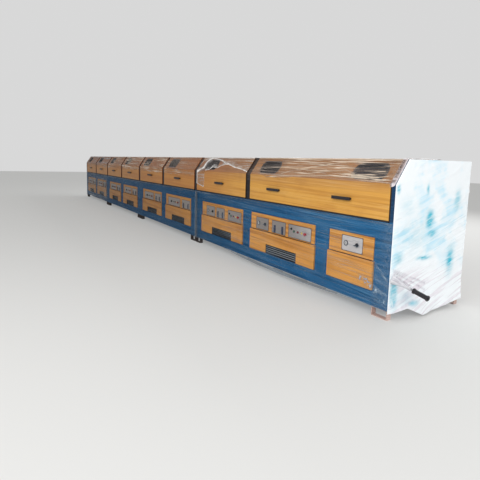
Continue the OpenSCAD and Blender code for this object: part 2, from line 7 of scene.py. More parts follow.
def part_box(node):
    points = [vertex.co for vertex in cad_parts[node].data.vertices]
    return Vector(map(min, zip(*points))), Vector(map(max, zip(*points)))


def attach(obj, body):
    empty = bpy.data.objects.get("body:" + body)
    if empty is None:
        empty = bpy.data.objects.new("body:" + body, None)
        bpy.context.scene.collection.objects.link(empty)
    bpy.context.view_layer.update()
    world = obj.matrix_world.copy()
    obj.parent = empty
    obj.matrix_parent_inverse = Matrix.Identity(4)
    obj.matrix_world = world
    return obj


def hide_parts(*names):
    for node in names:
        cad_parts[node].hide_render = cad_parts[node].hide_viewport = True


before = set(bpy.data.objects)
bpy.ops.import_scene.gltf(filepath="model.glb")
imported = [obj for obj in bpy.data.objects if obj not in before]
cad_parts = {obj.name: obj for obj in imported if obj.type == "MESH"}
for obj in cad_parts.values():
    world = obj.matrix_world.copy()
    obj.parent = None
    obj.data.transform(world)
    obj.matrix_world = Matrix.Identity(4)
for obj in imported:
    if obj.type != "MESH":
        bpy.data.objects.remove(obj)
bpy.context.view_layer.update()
scene = bpy.context.scene
print("stage: frame loaded")

# Places on the machine that the rest is set out from, in metres
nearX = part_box("end_panels")[1].x
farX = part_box("end_panels")[0].x
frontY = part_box("base_frame_1")[0].y
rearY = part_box("base_frame_1")[1].y
frameLowZ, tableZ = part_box("base_frame_1")[0].z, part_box("base_frame_1")[1].z
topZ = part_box("guard_1")[1].z
eaveZ = 1.374  # the fold between a guard's front and its slope
ridgeIn = 0.168  # how far the ridge stands behind the front
slopeRun = math.hypot(ridgeIn, topZ - eaveZ)
guardCount = 8
sectionCount = 4

photoCamera = {
    "beyondNearEnd": 2.702,
    "beforeFront": 3.356,
    "height": 1.548,
    "yaw": 59.234,  # degrees, turned from +Y towards -X
    "pitch": 6.979,  # looking down
    "roll": 1.517,
    "focalPixels": 418.2,
    "centreRow": 213.5,  # row of the picture that the lens points at
    "pictureSize": 480,
    "sensor": 36,
    "clip": (0.05, 200),
}


def makeCamera(settings):
    yaw, pitch, roll = (math.radians(settings[k]) for k in ("yaw", "pitch", "roll"))
    look = Vector((-math.sin(yaw) * math.cos(pitch), math.cos(yaw) * math.cos(pitch), -math.sin(pitch)))
    side = Vector((math.cos(yaw), math.sin(yaw), 0))
    up = side.cross(look)
    right = side * math.cos(roll) + up * math.sin(roll)
    above = up * math.cos(roll) - side * math.sin(roll)
    data = bpy.data.cameras.new("photoCamera")
    camera = bpy.data.objects.new("photoCamera", data)
    scene.collection.objects.link(camera)
    data.sensor_width = settings["sensor"]
    data.lens = data.sensor_width * settings["focalPixels"] / settings["pictureSize"]
    data.shift_y = (settings["centreRow"] - settings["pictureSize"] / 2) / settings["pictureSize"]
    turn = Matrix((right, above, -look)).transposed().to_4x4()
    place = Vector((nearX + settings["beyondNearEnd"], frontY - settings["beforeFront"], settings["height"]))
    camera.matrix_world = Matrix.Translation(place) @ turn
    data.clip_start, data.clip_end = settings["clip"]
    scene.camera = camera


makeCamera(photoCamera)
print("stage: camera")


def clearSelection():
    if bpy.context.object and bpy.context.object.mode != "OBJECT":
        bpy.ops.object.mode_set(mode="OBJECT")
    bpy.ops.object.select_all(action="DESELECT")


def colour(red, green, blue):
    parts = [((c / 255 + 0.055) / 1.055) ** 2.4 for c in (red, green, blue)]
    return (*parts, 1)


# Short ways to build shader nodes. Tones are red, green and blue from 0 to 255.

def newMaterial(name, roughness, metallic=0.0):
    material = bpy.data.materials.new(name)
    material.use_nodes = True
    shader = material.node_tree.nodes["Principled BSDF"]
    shader.inputs["Roughness"].default_value = roughness
    shader.inputs["Metallic"].default_value = metallic
    return material, material.node_tree, shader


def newGroup(name, inputs, outputs):
    group = bpy.data.node_groups.new(name, "ShaderNodeTree")
    for label, default in inputs.items():
        socket = group.interface.new_socket(label, in_out="INPUT", socket_type="NodeSocketFloat")
        socket.default_value = default
    for label in outputs:
        group.interface.new_socket(label, in_out="OUTPUT", socket_type="NodeSocketFloat")
    return group, group.nodes.new("NodeGroupInput"), group.nodes.new("NodeGroupOutput")


def addGroup(tree, group, **values):
    node = tree.nodes.new("ShaderNodeGroup")
    node.node_tree = group
    for label, value in values.items():
        node.inputs[label].default_value = value
    return node.outputs


def addMath(tree, operation, first, second=None, clamp=False):
    node = tree.nodes.new("ShaderNodeMath")
    node.operation = operation
    node.use_clamp = clamp
    for slot, value in enumerate((first, second)):
        if value is None:
            continue
        if isinstance(value, (int, float)):
            node.inputs[slot].default_value = value
        else:
            tree.links.new(value, node.inputs[slot])
    return node.outputs[0]


def addNoise(tree, stretch, scale, detail, turn=0.0, rough=0.55):
    place = tree.nodes.new("ShaderNodeTexCoord")
    mapping = tree.nodes.new("ShaderNodeMapping")
    mapping.vector_type = "TEXTURE"  # turns first, then stretches
    mapping.inputs["Scale"].default_value = [1 / amount for amount in stretch]
    mapping.inputs["Rotation"].default_value = turn if hasattr(turn, "__len__") else (0, turn, 0)
    pattern = tree.nodes.new("ShaderNodeTexNoise")
    pattern.inputs["Scale"].default_value = scale
    pattern.inputs["Detail"].default_value = detail
    pattern.inputs["Roughness"].default_value = rough
    tree.links.new(place.outputs["Object"], mapping.inputs["Vector"])
    tree.links.new(mapping.outputs[0], pattern.inputs["Vector"])
    return pattern.outputs["Fac"]


def addRange(tree, value, low, high, outLow=0.0, outHigh=1.0):
    node = tree.nodes.new("ShaderNodeMapRange")
    node.interpolation_type = "SMOOTHSTEP"
    for label, number in zip(("From Min", "From Max", "To Min", "To Max"), (low, high, outLow, outHigh)):
        node.inputs[label].default_value = number
    tree.links.new(value, node.inputs["Value"])
    return node.outputs[0]


# A noise pattern that starts at the first value of shows and is full at the second
def addPattern(tree, stretch, scale, detail, shows, turn=0.0, out=(0.0, 1.0)):
    return addRange(tree, addNoise(tree, stretch, scale, detail, turn), *shows, *out)


def addMix(tree, factor, first, second):
    node = tree.nodes.new("ShaderNodeMix")
    node.data_type = "RGBA"
    for label, value in (("Factor", factor), ("A", first), ("B", second)):
        socket = next(s for s in node.inputs if s.name == label and s.enabled)
        if hasattr(value, "is_linked"):
            tree.links.new(value, socket)
        else:
            socket.default_value = colour(*value)
    return next(s for s in node.outputs if s.enabled)


def addAttribute(tree, name):
    node = tree.nodes.new("ShaderNodeAttribute")
    node.attribute_name = name
    return node.outputs["Fac"]


def addPlace(tree, axis):
    place = tree.nodes.new("ShaderNodeTexCoord")
    split = tree.nodes.new("ShaderNodeSeparateXYZ")
    tree.links.new(place.outputs["Object"], split.inputs[0])
    return split.outputs[axis]


def addBump(tree, height, strength, distance, shader):
    bump = tree.nodes.new("ShaderNodeBump")
    bump.inputs["Strength"].default_value = strength
    bump.inputs["Distance"].default_value = distance
    tree.links.new(height, bump.inputs["Height"])
    tree.links.new(bump.outputs[0], shader.inputs["Normal"])


def mixShaders(tree, factor, first, second, output):
    blend = tree.nodes.new("ShaderNodeMixShader")
    for socket, value in zip(blend.inputs, (factor, first, second)):
        tree.links.new(value, socket)
    tree.links.new(blend.outputs[0], output)


# Floor, backdrop and light

stageSettings = {
    "floorSize": 80,
    "floorTone": (228, 228, 226),
    "floorRoughness": 0.7,
    "floorGlow": 0.38,  # share of plain floor colour that the camera sees, for an even tone
    "glowStrength": 0.9,
    "worldStrength": 0.42,
    "backdropStrength": 0.86,
}

lampSettings = {
    "frontSoftbox": {"place": (2.4, -6.2, 5.0), "aim": (-1.5, 0, 0.8), "size": (8, 4), "power": 430},
    "endSoftbox": {"place": (8, 1.5, 3.6), "aim": (0, 0.5, 1.1), "size": (5, 4), "power": 235},
    "rearSoftbox": {"place": (-7.6, 8.5, 5.5), "aim": (-7.6, 1.2, 0.6), "size": (15, 4), "power": 620},
}


def makeFloor(settings):
    clearSelection()
    bpy.ops.mesh.primitive_plane_add(size=settings["floorSize"], location=(0, 0, 0))
    floor = bpy.context.object
    floor.name = "floor"
    material, tree, shader = newMaterial("floorPale", settings["floorRoughness"])
    shader.inputs["Base Color"].default_value = colour(*settings["floorTone"])
    plain = tree.nodes.new("ShaderNodeEmission")
    plain.inputs["Color"].default_value = colour(*settings["floorTone"])
    plain.inputs["Strength"].default_value = settings["glowStrength"]
    seen = tree.nodes.new("ShaderNodeLightPath").outputs["Is Camera Ray"]
    share = addMath(tree, "MULTIPLY", seen, settings["floorGlow"])
    surface = tree.nodes["Material Output"].inputs["Surface"]
    mixShaders(tree, share, shader.outputs[0], plain.outputs[0], surface)
    floor.data.materials.append(material)


def makeRoom(settings):
    world = bpy.data.worlds.new("softRoom")
    scene.world = world
    world.use_nodes = True
    tree = world.node_tree
    background = tree.nodes["Background"]
    background.inputs["Color"].default_value = (1, 1, 1, 1)
    background.inputs["Strength"].default_value = settings["worldStrength"]
    backdrop = tree.nodes.new("ShaderNodeBackground")
    backdrop.inputs["Strength"].default_value = settings["backdropStrength"]
    path = tree.nodes.new("ShaderNodeLightPath")
    seen = addMath(tree, "MAXIMUM", path.outputs["Is Camera Ray"], path.outputs["Is Transmission Ray"])
    surface = tree.nodes["World Output"].inputs[0]
    mixShaders(tree, seen, background.outputs[0], backdrop.outputs[0], surface)


def makeLamp(name, settings):
    data = bpy.data.lights.new(name, "AREA")
    data.shape = "RECTANGLE"
    data.size, data.size_y = settings["size"]
    data.energy = settings["power"]
    lamp = bpy.data.objects.new(name, data)
    scene.collection.objects.link(lamp)
    corner = Vector((nearX, frontY, 0))
    place, aim = corner + Vector(settings["place"]), corner + Vector(settings["aim"])
    turn = (aim - place).to_track_quat("-Z", "Y").to_matrix().to_4x4()
    lamp.matrix_world = Matrix.Translation(place) @ turn


makeFloor(stageSettings)
makeRoom(stageSettings)
for lampName, lampLook in lampSettings.items():
    makeLamp(lampName, lampLook)
print("stage: floor and lamps")


# Effects that several finishes share

# stretch, scale, detail, the noise that shows, turn, and what it runs from and to
streakSettings = {
    "fine": ((0.5, 9, 52), 2.4, 5, (0.50, 0.70), 0.03),
    "crossing": ((0.8, 9, 40), 2.0, 4, (0.55, 0.74), -0.07),
    "patches": ((0.7, 1, 2.2), 1.3, 2, (0.38, 0.62), 0.0, (0.15, 1)),
    "bands": ((0.25, 5, 16), 1.5, 4, (0.45, 0.66), 0.02),
    "threads": ((0.4, 9, 60), 2.0, 3, (0.52, 0.72), 0.01, (0, 0.7)),
}


# Pale gives fine streak lines, partly whitish film and partly painted highlights
def makeFilmStreaks(settings):
    group, given, out = newGroup("filmStreaks", {"Fine": 1.0, "Broad": 1.0}, ["Pale", "Dark", "Height"])
    made = {name: addPattern(group, *pattern) for name, pattern in settings.items()}
    fine = addMath(group, "MAXIMUM", made["fine"], made["crossing"])
    lines = addMath(group, "MULTIPLY", fine, made["patches"])
    group.links.new(addMath(group, "MULTIPLY", lines, given.outputs["Fine"], True), out.inputs["Pale"])
    shade = addMath(group, "MAXIMUM", made["bands"], made["threads"])
    group.links.new(addMath(group, "MULTIPLY", shade, given.outputs["Broad"], True), out.inputs["Dark"])
    height = addMath(group, "ADD", lines, addMath(group, "MULTIPLY", made["bands"], 0.5))
    group.links.new(height, out.inputs["Height"])
    return group


def makeShopDust():
    group, given, out = newGroup("shopDust", {"Amount": 1.0}, ["Dust", "Speck"])
    cloud = addPattern(group, (1, 1, 1.6), 3.0, 5, (0.42, 0.75))
    group.links.new(addMath(group, "MULTIPLY", cloud, given.outputs["Amount"], True), out.inputs["Dust"])
    group.links.new(addPattern(group, (1, 1, 1), 85, 2, (0.3, 0.7)), out.inputs["Speck"])
    return group


def makeFilmCrinkle():
    group, given, out = newGroup("filmCrinkle", {"Amount": 0.0}, ["Line", "Height"])
    pattern = addNoise(group, (1, 1, 1), 24, 3, 0, 0.6)
    away = addMath(group, "ABSOLUTE", addMath(group, "SUBTRACT", pattern, 0.5))
    line = addRange(group, away, 0.0, 0.055, 1, 0)
    for name, height in (("Line", line), ("Height", pattern)):
        group.links.new(addMath(group, "MULTIPLY", height, given.outputs["Amount"], True), out.inputs[name])
    return group


filmStreaks = makeFilmStreaks(streakSettings)
shopDust = makeShopDust()
filmCrinkle = makeFilmCrinkle()
print("stage: node groups")


# Sheet steel, painted and wrapped in film: darker bands and pale fine lines run along the machine

wrapSettings = {
    "dust": 0.35,
    "lineGloss": 0.5,  # roughness of the pale lines, by that of the paint
    "relief": (0.25, 0.003),
    "shadow": (0.15, 0.01, 0.42),  # the slope's tones start and peak so far below the eave, at this share
    "eaveBlend": 0.012,
    "facesAlong": (0.8, 0.95),  # a face that points along the machine this far is an end, and gets painted shade
    "endShadeTone": (58, 48, 42),
}


# slope holds the three tones above the eave: partly the crumpled film on the paint, partly painted shade and
# painted reflection on the upward faces
def wrappedPaint(name, base, dark, pale, fine, broad, roughness=0.34, slope=None, gloss=0.22):
    look = wrapSettings
    material, tree, shader = newMaterial(name, roughness)
    if slope:
        # painted shade and reflection: the slope tones, which also fade in a little below the eave
        start, end, share = look["shadow"]
        under = addRange(tree, addPlace(tree, "Z"), eaveZ - start, eaveZ - end, 0, share)
        over = addRange(tree, addPlace(tree, "Z"), eaveZ - look["eaveBlend"], eaveZ + look["eaveBlend"])
        upper = addMath(tree, "MAXIMUM", under, over)
        base, dark, pale = (addMix(tree, upper, low, high) for low, high in zip((base, dark, pale), slope))
        # painted shade on the faces that point along the machine, the guards' ends
        facing = tree.nodes.new("ShaderNodeSeparateXYZ")
        tree.links.new(tree.nodes.new("ShaderNodeNewGeometry").outputs["True Normal"], facing.inputs[0])
        ends = addRange(tree, addMath(tree, "ABSOLUTE", facing.outputs["X"]), *look["facesAlong"])
        base, dark, pale = (addMix(tree, ends, tone, look["endShadeTone"]) for tone in (base, dark, pale))
    streak = addGroup(tree, filmStreaks, Fine=fine, Broad=broad)
    dust = addGroup(tree, shopDust, Amount=look["dust"])
    mottled = addMix(tree, dust["Dust"], base, dark)
    shaded = addMix(tree, streak["Dark"], mottled, dark)
    # painted highlights: the pale streak lines lighten the paint, partly as whitish film
    tree.links.new(addMix(tree, streak["Pale"], shaded, pale), shader.inputs["Base Color"])
    sheen = addRange(tree, streak["Pale"], 0, 1, roughness, roughness * look["lineGloss"])
    tree.links.new(sheen, shader.inputs["Roughness"])
    shader.inputs["Specular IOR Level"].default_value = gloss
    addBump(tree, streak["Height"], *look["relief"], shader)
    return material


def plainFinish(name, base, worn, roughness=0.4, metallic=0.0, dusty=0.4, bump=0.1):
    material, tree, shader = newMaterial(name, roughness, metallic)
    dust = addGroup(tree, shopDust, Amount=dusty)
    speckled = addMix(tree, addMath(tree, "MULTIPLY", dust["Speck"], 0.25), base, worn)
    tree.links.new(addMix(tree, dust["Dust"], speckled, worn), shader.inputs["Base Color"])
    sheen = addRange(tree, dust["Speck"], 0, 1, roughness * 0.85, roughness * 1.2)
    tree.links.new(sheen, shader.inputs["Roughness"])
    addBump(tree, dust["Speck"], bump, 0.0008, shader)
    return material


def turnedFinish(name, base, dark, roughness=0.28, metallic=0.85):
    material, tree, shader = newMaterial(name, roughness, metallic)
    rings = addNoise(tree, (0.4, 0.4, 1), 190, 2)
    tree.links.new(addMix(tree, addRange(tree, rings, 0.35, 0.65), dark, base), shader.inputs["Base Color"])
    sheen = addRange(tree, rings, 0.2, 0.8, roughness * 0.7, roughness * 1.4)
    tree.links.new(sheen, shader.inputs["Roughness"])
    addBump(tree, rings, 0.12, 0.0006, shader)
    return material


blueTones = ((42, 100, 146), (24, 70, 110), (102, 154, 192))
yellowPaint = wrappedPaint("yellowPaint", (224, 166, 78), (186, 124, 54), (238, 202, 138), 0.3, 0.6,
                           slope=((176, 126, 84), (122, 84, 52), (232, 204, 176)))
panYellow = wrappedPaint("panYellow", (222, 158, 80), (174, 112, 50), (238, 204, 150), 0.4, 0.75, gloss=0.10)
bluePaint = wrappedPaint("bluePaint", *blueTones, 0.6, 0.8, gloss=0.04)
postBlack = wrappedPaint("postBlack", (34, 34, 38), (22, 22, 26), (104, 102, 104), 0.4, 0.6,
                         slope=((70, 58, 52), (36, 34, 36), (158, 140, 128)))
grilleGrey = wrappedPaint("grilleGrey", (26, 29, 34), (16, 18, 22), (56, 62, 70), 0.4, 0.9, 0.5)
louvreSteel = wrappedPaint("louvreSteel", (150, 156, 162), (84, 90, 98), (206, 212, 216), 0.8, 1.0, 0.35)
plateMetal = plainFinish("plateMetal", (206, 202, 202), (172, 166, 164), 0.36, 0.1, 0.6)
handleBlack = plainFinish("handleBlack", (32, 30, 34), (54, 50, 56), 0.42)
knobBlack = plainFinish("knobBlack", (24, 25, 32), (40, 41, 50), 0.28)
screenGrey = plainFinish("screenGrey", (74, 70, 70), (96, 90, 88), 0.5, 0.25)
rubberBlack = plainFinish("rubberBlack", (34, 33, 34), (50, 48, 48), 0.7)
blockSteel = turnedFinish("blockSteel", (188, 188, 190), (140, 140, 144))
hingeSteel = turnedFinish("hingeSteel", (168, 168, 170), (130, 130, 134), 0.35)
dieGrey = plainFinish("dieGrey", (92, 97, 104), (70, 74, 80), 0.45)
stopRed = plainFinish("stopRed", (176, 52, 60), (150, 44, 52), 0.26)
capGreen = plainFinish("capGreen", (52, 92, 72), (42, 74, 60), 0.3)
capDarkRed = plainFinish("capDarkRed", (128, 50, 58), (104, 42, 50), 0.3)
capYellow = plainFinish("capYellow", (214, 190, 120), (190, 166, 100), 0.3)
breakerGrey = plainFinish("breakerGrey", (60, 68, 92), (46, 52, 72), 0.42)
dialWhite = plainFinish("dialWhite", (196, 194, 192), (176, 174, 172), 0.3)
bezelGrey = plainFinish("bezelGrey", (46, 46, 54), (66, 66, 74), 0.35)
inkGrey = plainFinish("inkGrey", (58, 54, 60), (80, 76, 82), 0.6)
footPrimer = plainFinish("footPrimer", (212, 184, 174), (160, 126, 114), 0.62, 0.0, 0.8, 0.2)
leverSteel = plainFinish("leverSteel", (204, 204, 208), (170, 170, 176), 0.25, 0.7)
endBlue = wrappedPaint("endBlue", *blueTones, 0.6, 0.8, gloss=0.04)


def darkenAlong(material, axis, tone, clearAt, fullAt, share):
    tree = material.node_tree
    base = tree.nodes["Principled BSDF"].inputs["Base Color"]
    undarkened = base.links[0].from_socket
    darkening = addRange(tree, addPlace(tree, axis), clearAt, fullAt, 0, share)
    tree.links.new(addMix(tree, darkening, undarkened, tone), base)


# Painted shade: the finishes grow darker along the machine, away from the near end: tone, start and end from
# the near end, and share
farShadeAndDust = (
    (footPrimer, (74, 66, 64), 0.8, 1.6, 1.0),  # only the near corner is bare primer; the feet beyond are darkened, partly dust and partly painted shade
    (plateMetal, (130, 122, 116), 0.8, 1.8, 0.85),
    (yellowPaint, (176, 104, 58), 2.5, 4.6, 0.5),
    (stopRed, (122, 84, 80), 2.2, 5.0, 0.75),
    (breakerGrey, (86, 84, 86), 2.4, 4.4, 0.6),
    (panYellow, (130, 88, 56), 2.4, 6.0, 0.42),
    (bluePaint, (20, 52, 80), 1.5, 4.5, 0.5),
    (louvreSteel, (36, 40, 46), 2.4, 4.0, 0.8),
)
for darkened, shadeTone, shadeStart, shadeEnd, shadeShare in farShadeAndDust:
    darkenAlong(darkened, "X", shadeTone, nearX - shadeStart, nearX - shadeEnd, shadeShare)
# the end panels' blue is darker above the table
darkenAlong(endBlue, "Z", (36, 56, 84), tableZ, tableZ + 0.02, 0.8)

finishes = {
    "rear_duct": bluePaint, "end_panels": endBlue, "rear_panels": panYellow, "control_panels": panYellow,
    "access_panels": panYellow, "partitions": postBlack, "seal_strips": rubberBlack,
    "vent_grilles": grilleGrey, "instrument_plates": plateMetal, "breakers": breakerGrey,
    "drawing_blocks": blockSteel, "die_boxes": dieGrey, "hinge_brackets": hingeSteel,
    "foot_tubes": footPrimer, "end_lever": leverSteel, "lever_grip": handleBlack, "switch_knobs": knobBlack,
    "push_buttons": capGreen, "stop_buttons": stopRed, "gauges": dialWhite,
}
for n in range(1, sectionCount + 1):
    finishes[f"base_frame_{n}"] = bluePaint
for n in range(1, guardCount + 1):
    finishes[f"guard_{n}"] = yellowPaint
    finishes[f"guard_{n}_handles"] = handleBlack
    finishes[f"guard_{n}_screens"] = screenGrey
for node, finish in finishes.items():
    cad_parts[node].data.materials.clear()
    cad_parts[node].data.materials.append(finish)
print("stage: finishes")


# Boxes of the separate solids in a node, from near to far

def solidBoxes(node):
    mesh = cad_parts[node].data
    spots = [tuple(round(c, 4) for c in vertex.co) for vertex in mesh.vertices]
    parent = {spot: spot for spot in spots}

    def root(spot):
        while parent[spot] != spot:
            parent[spot] = parent[parent[spot]]
            spot = parent[spot]
        return spot

    for face in mesh.polygons:
        first = root(spots[face.vertices[0]])
        for index in face.vertices[1:]:
            parent[root(spots[index])] = first
    groups = {}
    for spot in parent:
        groups.setdefault(root(spot), []).append(spot)
    boxes = [(Vector(map(min, zip(*group))), Vector(map(max, zip(*group)))) for group in groups.values()]
    return sorted(boxes, key=lambda b: -(b[0].x + b[1].x))


# Middles of the rear faces of such boxes, where a piece is seated
def seatsOf(boxes):
    return [Vector(((low.x + high.x) / 2, high.y, (low.z + high.z) / 2)) for low, high in boxes]


# The same for a knob whose pointer reaches past its round, and the radius of that round
def axisOf(low, high):
    radius = (high.z - low.z) / 2
    return Vector((high.x - radius, high.y, (low.z + high.z) / 2)), radius


# Short ways to model by hand

def leaveEdit():
    bpy.ops.object.mode_set(mode="OBJECT")


def pickFaces(piece, test):
    bpy.ops.object.mode_set(mode="EDIT")
    bpy.ops.mesh.select_mode(type="FACE")
    bpy.ops.mesh.select_all(action="DESELECT")
    leaveEdit()
    for face in piece.data.polygons:
        face.select = test(face)
    bpy.ops.object.mode_set(mode="EDIT")


def isFront(face):
    return face.normal.y < -0.99


def insetFaces(thickness):
    bpy.ops.mesh.inset(thickness=thickness, use_even_offset=True)


def pullFaces(step):
    bpy.ops.mesh.extrude_region_move(TRANSFORM_OT_translate={"value": step})


def pushFront(distance, inset):
    insetFaces(inset)
    pullFaces((0, -distance, 0))


def crownFront(piece, distance, inset):
    pickFaces(piece, isFront)
    pushFront(distance, inset)
    leaveEdit()


def smoothBelow(angle):
    bpy.ops.object.shade_smooth_by_angle(angle=math.radians(angle))


def bevelAll(piece, width, segments=2, angle=35):
    leaveEdit()
    modifier = piece.modifiers.new("roundedEdges", "BEVEL")
    modifier.width = width
    modifier.segments = segments
    modifier.limit_method = "ANGLE"
    modifier.angle_limit = math.radians(angle)
    bpy.ops.object.modifier_apply(modifier=modifier.name)
    smoothBelow(40)


def startDisc(radius, depth, sides=32):
    clearSelection()
    bpy.ops.mesh.primitive_cylinder_add(vertices=sides, radius=radius, depth=depth,
                                        location=(0, -depth / 2, 0), rotation=(math.pi / 2, 0, 0))
    bpy.ops.object.transform_apply(location=True, rotation=True, scale=True)
    return bpy.context.object


def startBox(low, high):
    clearSelection()
    low, high = Vector(low), Vector(high)
    bpy.ops.mesh.primitive_cube_add(size=1, location=(low + high) / 2)
    bpy.context.object.scale = high - low
    bpy.ops.object.transform_apply(location=True, rotation=True, scale=True)
    return bpy.context.object


def joinPieces(pieces, name=None):
    clearSelection()
    for piece in pieces:
        piece.select_set(True)
    bpy.context.view_layer.objects.active = pieces[0]
    if len(pieces) > 1:
        bpy.ops.object.join()
    joined = bpy.context.object
    if name:
        joined.name = joined.data.name = name
    return joined


def dropModel(model):
    bpy.data.objects.remove(model, do_unlink=True)


def copyAt(model, places, name, last=True):
    copies = []
    for place in places:
        clone = model.copy()
        clone.data = model.data.copy()
        scene.collection.objects.link(clone)
        clone.data.transform(Matrix.Translation(place))
        copies.append(clone)
    if last:
        dropModel(model)
    return joinPieces(copies, name)


def dressPiece(piece, material):
    piece.data.materials.clear()
    piece.data.materials.append(material)


# Pull handles: a bar with rounded ends on two stepped feet

handleSettings = {
    "bevel": 0.0045,
    "barThick": 0.010,
    "rim": (0.006, 0.002),  # plain rim of the bar, and the step inside it
    "dip": 0.0015,
    "footIn": 0.018,  # from the end of the bar to the middle of a foot
    "footRadius": 0.008,
    "footSides": 20,
    "collar": 0.004,
}


def makeHandles(number, settings):
    node = f"guard_{number}_handles"
    pieces = []
    for low, high in solidBoxes(node):
        middle = (low.z + high.z) / 2
        bar = startBox((low.x, low.y, low.z), (high.x, low.y + settings["barThick"], high.z))
        pickFaces(bar, isFront)
        for thickness in settings["rim"]:
            insetFaces(thickness)
        bpy.ops.transform.translate(value=(0, settings["dip"], 0))
        bevelAll(bar, settings["bevel"], 3)
        pieces.append(bar)
        for x in (low.x + settings["footIn"], high.x - settings["footIn"]):
            collar = settings["collar"]
            foot = startDisc(settings["footRadius"] + collar, collar, settings["footSides"])
            crownFront(foot, high.y - low.y - settings["barThick"] - collar, collar)
            foot.data.transform(Matrix.Translation((x, high.y, middle)))
            smoothBelow(40)
            pieces.append(foot)
    handle = joinPieces(pieces, f"pullHandles{number}")
    dressPiece(handle, handleBlack)
    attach(handle, f"guard_{number}")
    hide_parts(node)


for n in range(1, guardCount + 1):
    makeHandles(n, handleSettings)
print("stage: handles")

# Controls on the instrument plates. A share is of the piece's own radius or reach.

knobSettings = {
    "skirt": 0.006,
    "bossShare": 0.74,
    "bossReach": 0.55,
    "bossBevel": 0.0012,
    "barShare": 0.30,  # half width of the pointer bar
    "barReach": 1.6,
    "tailReach": 0.7,
    "tipTaper": (1, 0.8, 0.55),
    "barBevel": 0.0022,
    "tilt": 10,  # degrees
}


def makeKnob(radius, reach, settings):
    disc = startDisc(radius, settings["skirt"])
    pickFaces(disc, isFront)
    pushFront(reach * settings["bossReach"] - settings["skirt"], radius * (1 - settings["bossShare"]))
    bevelAll(disc, settings["bossBevel"])
    half = radius * settings["barShare"]
    tip, tail = -radius * settings["barReach"], radius * settings["tailReach"]
    bar = startBox((tip, -reach, -half), (tail, -settings["skirt"], half))
    pickFaces(bar, lambda face: face.normal.x < -0.99)
    bpy.ops.transform.resize(value=settings["tipTaper"], center_override=(tip, -settings["skirt"], 0))
    bevelAll(bar, settings["barBevel"], 3)
    bar.data.transform(Matrix.Rotation(math.radians(-settings["tilt"]), 4, "Y"))
    return joinPieces([disc, bar])


# Places and reach of the knobs, by their radius
def knobsBySize():
    sizes = {}
    for low, high in solidBoxes("switch_knobs"):
        place, radius = axisOf(low, high)
        sizes.setdefault(round(radius, 3), []).append((place, high.y - low.y))
    return sizes


def makeKnobs(settings):
    pieces = []
    for radius, found in knobsBySize().items():
        model = makeKnob(radius, found[0][1], settings)
        pieces.append(copyAt(model, [place for place, reach in found], "knobs"))
    knobs = joinPieces(pieces, "switchKnobs")
    dressPiece(knobs, knobBlack)
    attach(knobs, "housing")
    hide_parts("switch_knobs")


buttonSettings = {
    "sides": 28,
    "collarOut": 0.004,
    "collarShare": 0.14,
    "dip": 0.0015,
    "capShare": 0.72,
    "capReach": 0.8,
    "crownReach": 0.2,
    "crownIn": 0.1,
    "bevel": 0.001,
    "caps": (capYellow, capDarkRed, capGreen),  # from near to far in a row of three
}


def makeButton(radius, reach, settings):
    disc = startDisc(radius, settings["collarOut"], settings["sides"])
    crownFront(disc, -settings["dip"], radius * settings["collarShare"])
    cap = startDisc(radius * settings["capShare"], reach * settings["capReach"], settings["sides"])
    crownFront(cap, reach * settings["crownReach"], radius * settings["crownIn"])
    bevelAll(cap, settings["bevel"])
    return joinPieces([disc, cap])


def makeButtons(settings):
    boxes = solidBoxes("push_buttons")
    low, high = boxes[0]
    model = makeButton((high.z - low.z) / 2, high.y - low.y, settings)
    caps = settings["caps"]
    for turn, cap in enumerate(caps):
        places = seatsOf(boxes[turn::len(caps)])
        buttons = copyAt(model, places, f"pushButtons{turn + 1}", last=turn + 1 == len(caps))
        dressPiece(buttons, cap)
        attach(buttons, "housing")
        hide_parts("push_buttons")


stopSettings = {
    "stemShare": 0.66,
    "stemReach": 0.5,
    "headShare": 0.92,
    "headReach": 0.12,
    "headAt": 0.48,
    "flareReach": 0.1,
    "flare": 1.08,
    "domeRings": 3,
    "domeRise": (0.12, 0.03),  # of the first ring, and how much less each next one has
    "domeIn": (0.07, 0.05),  # of the first ring, and how much more each next one has
}


def makeStopButtons(settings):
    boxes = solidBoxes("stop_buttons")
    low, high = boxes[0]
    reach, radius = high.y - low.y, (high.z - low.z) / 2
    stem = startDisc(radius * settings["stemShare"], reach * settings["stemReach"])
    head = startDisc(radius * settings["headShare"], reach * settings["headReach"])
    pickFaces(head, isFront)
    pullFaces((0, -reach * settings["flareReach"], 0))
    bpy.ops.transform.resize(value=(settings["flare"], 1, settings["flare"]))
    rise, less = settings["domeRise"]
    inset, more = settings["domeIn"]
    for ring in range(settings["domeRings"]):
        pushFront(reach * (rise - less * ring), radius * (inset + more * ring))
    leaveEdit()
    head.data.transform(Matrix.Translation((0, -reach * settings["headAt"], 0)))
    smoothBelow(50)
    buttons = copyAt(joinPieces([stem, head]), seatsOf(boxes), "stopButtons")
    dressPiece(buttons, stopRed)
    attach(buttons, "housing")
    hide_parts("stop_buttons")


gaugeSettings = {
    "sides": 40,
    "rim": 0.006,
    "out": 0.008,
    "bevel": 0.0012,
    "dialOut": 0.004,
    "dialGap": 1.1,  # the dial is smaller than the bezel by this many rims
    "dialLip": 0.0004,
    "dialCrown": (0.0003, 0.001),
    "faceOut": 0.0007,
    "ticks": 9,
    "tickFrom": 0.58,
    "tickLong": 0.18,
    "tickWide": 0.0016,
    "tickOut": 0.0005,
    "sweep": 240,  # degrees
    "needleAngle": -50,
    "needleHalf": 0.0009,
    "needleOut": 0.0012,
    "needleTail": 0.15,
    "needleTip": 0.62,
    "tipShare": 0.25,
    "hubRadius": 0.003,
    "hubOut": 0.002,
    "hubSides": 16,
    "hubCrown": (0.0006, 0.0008),
}


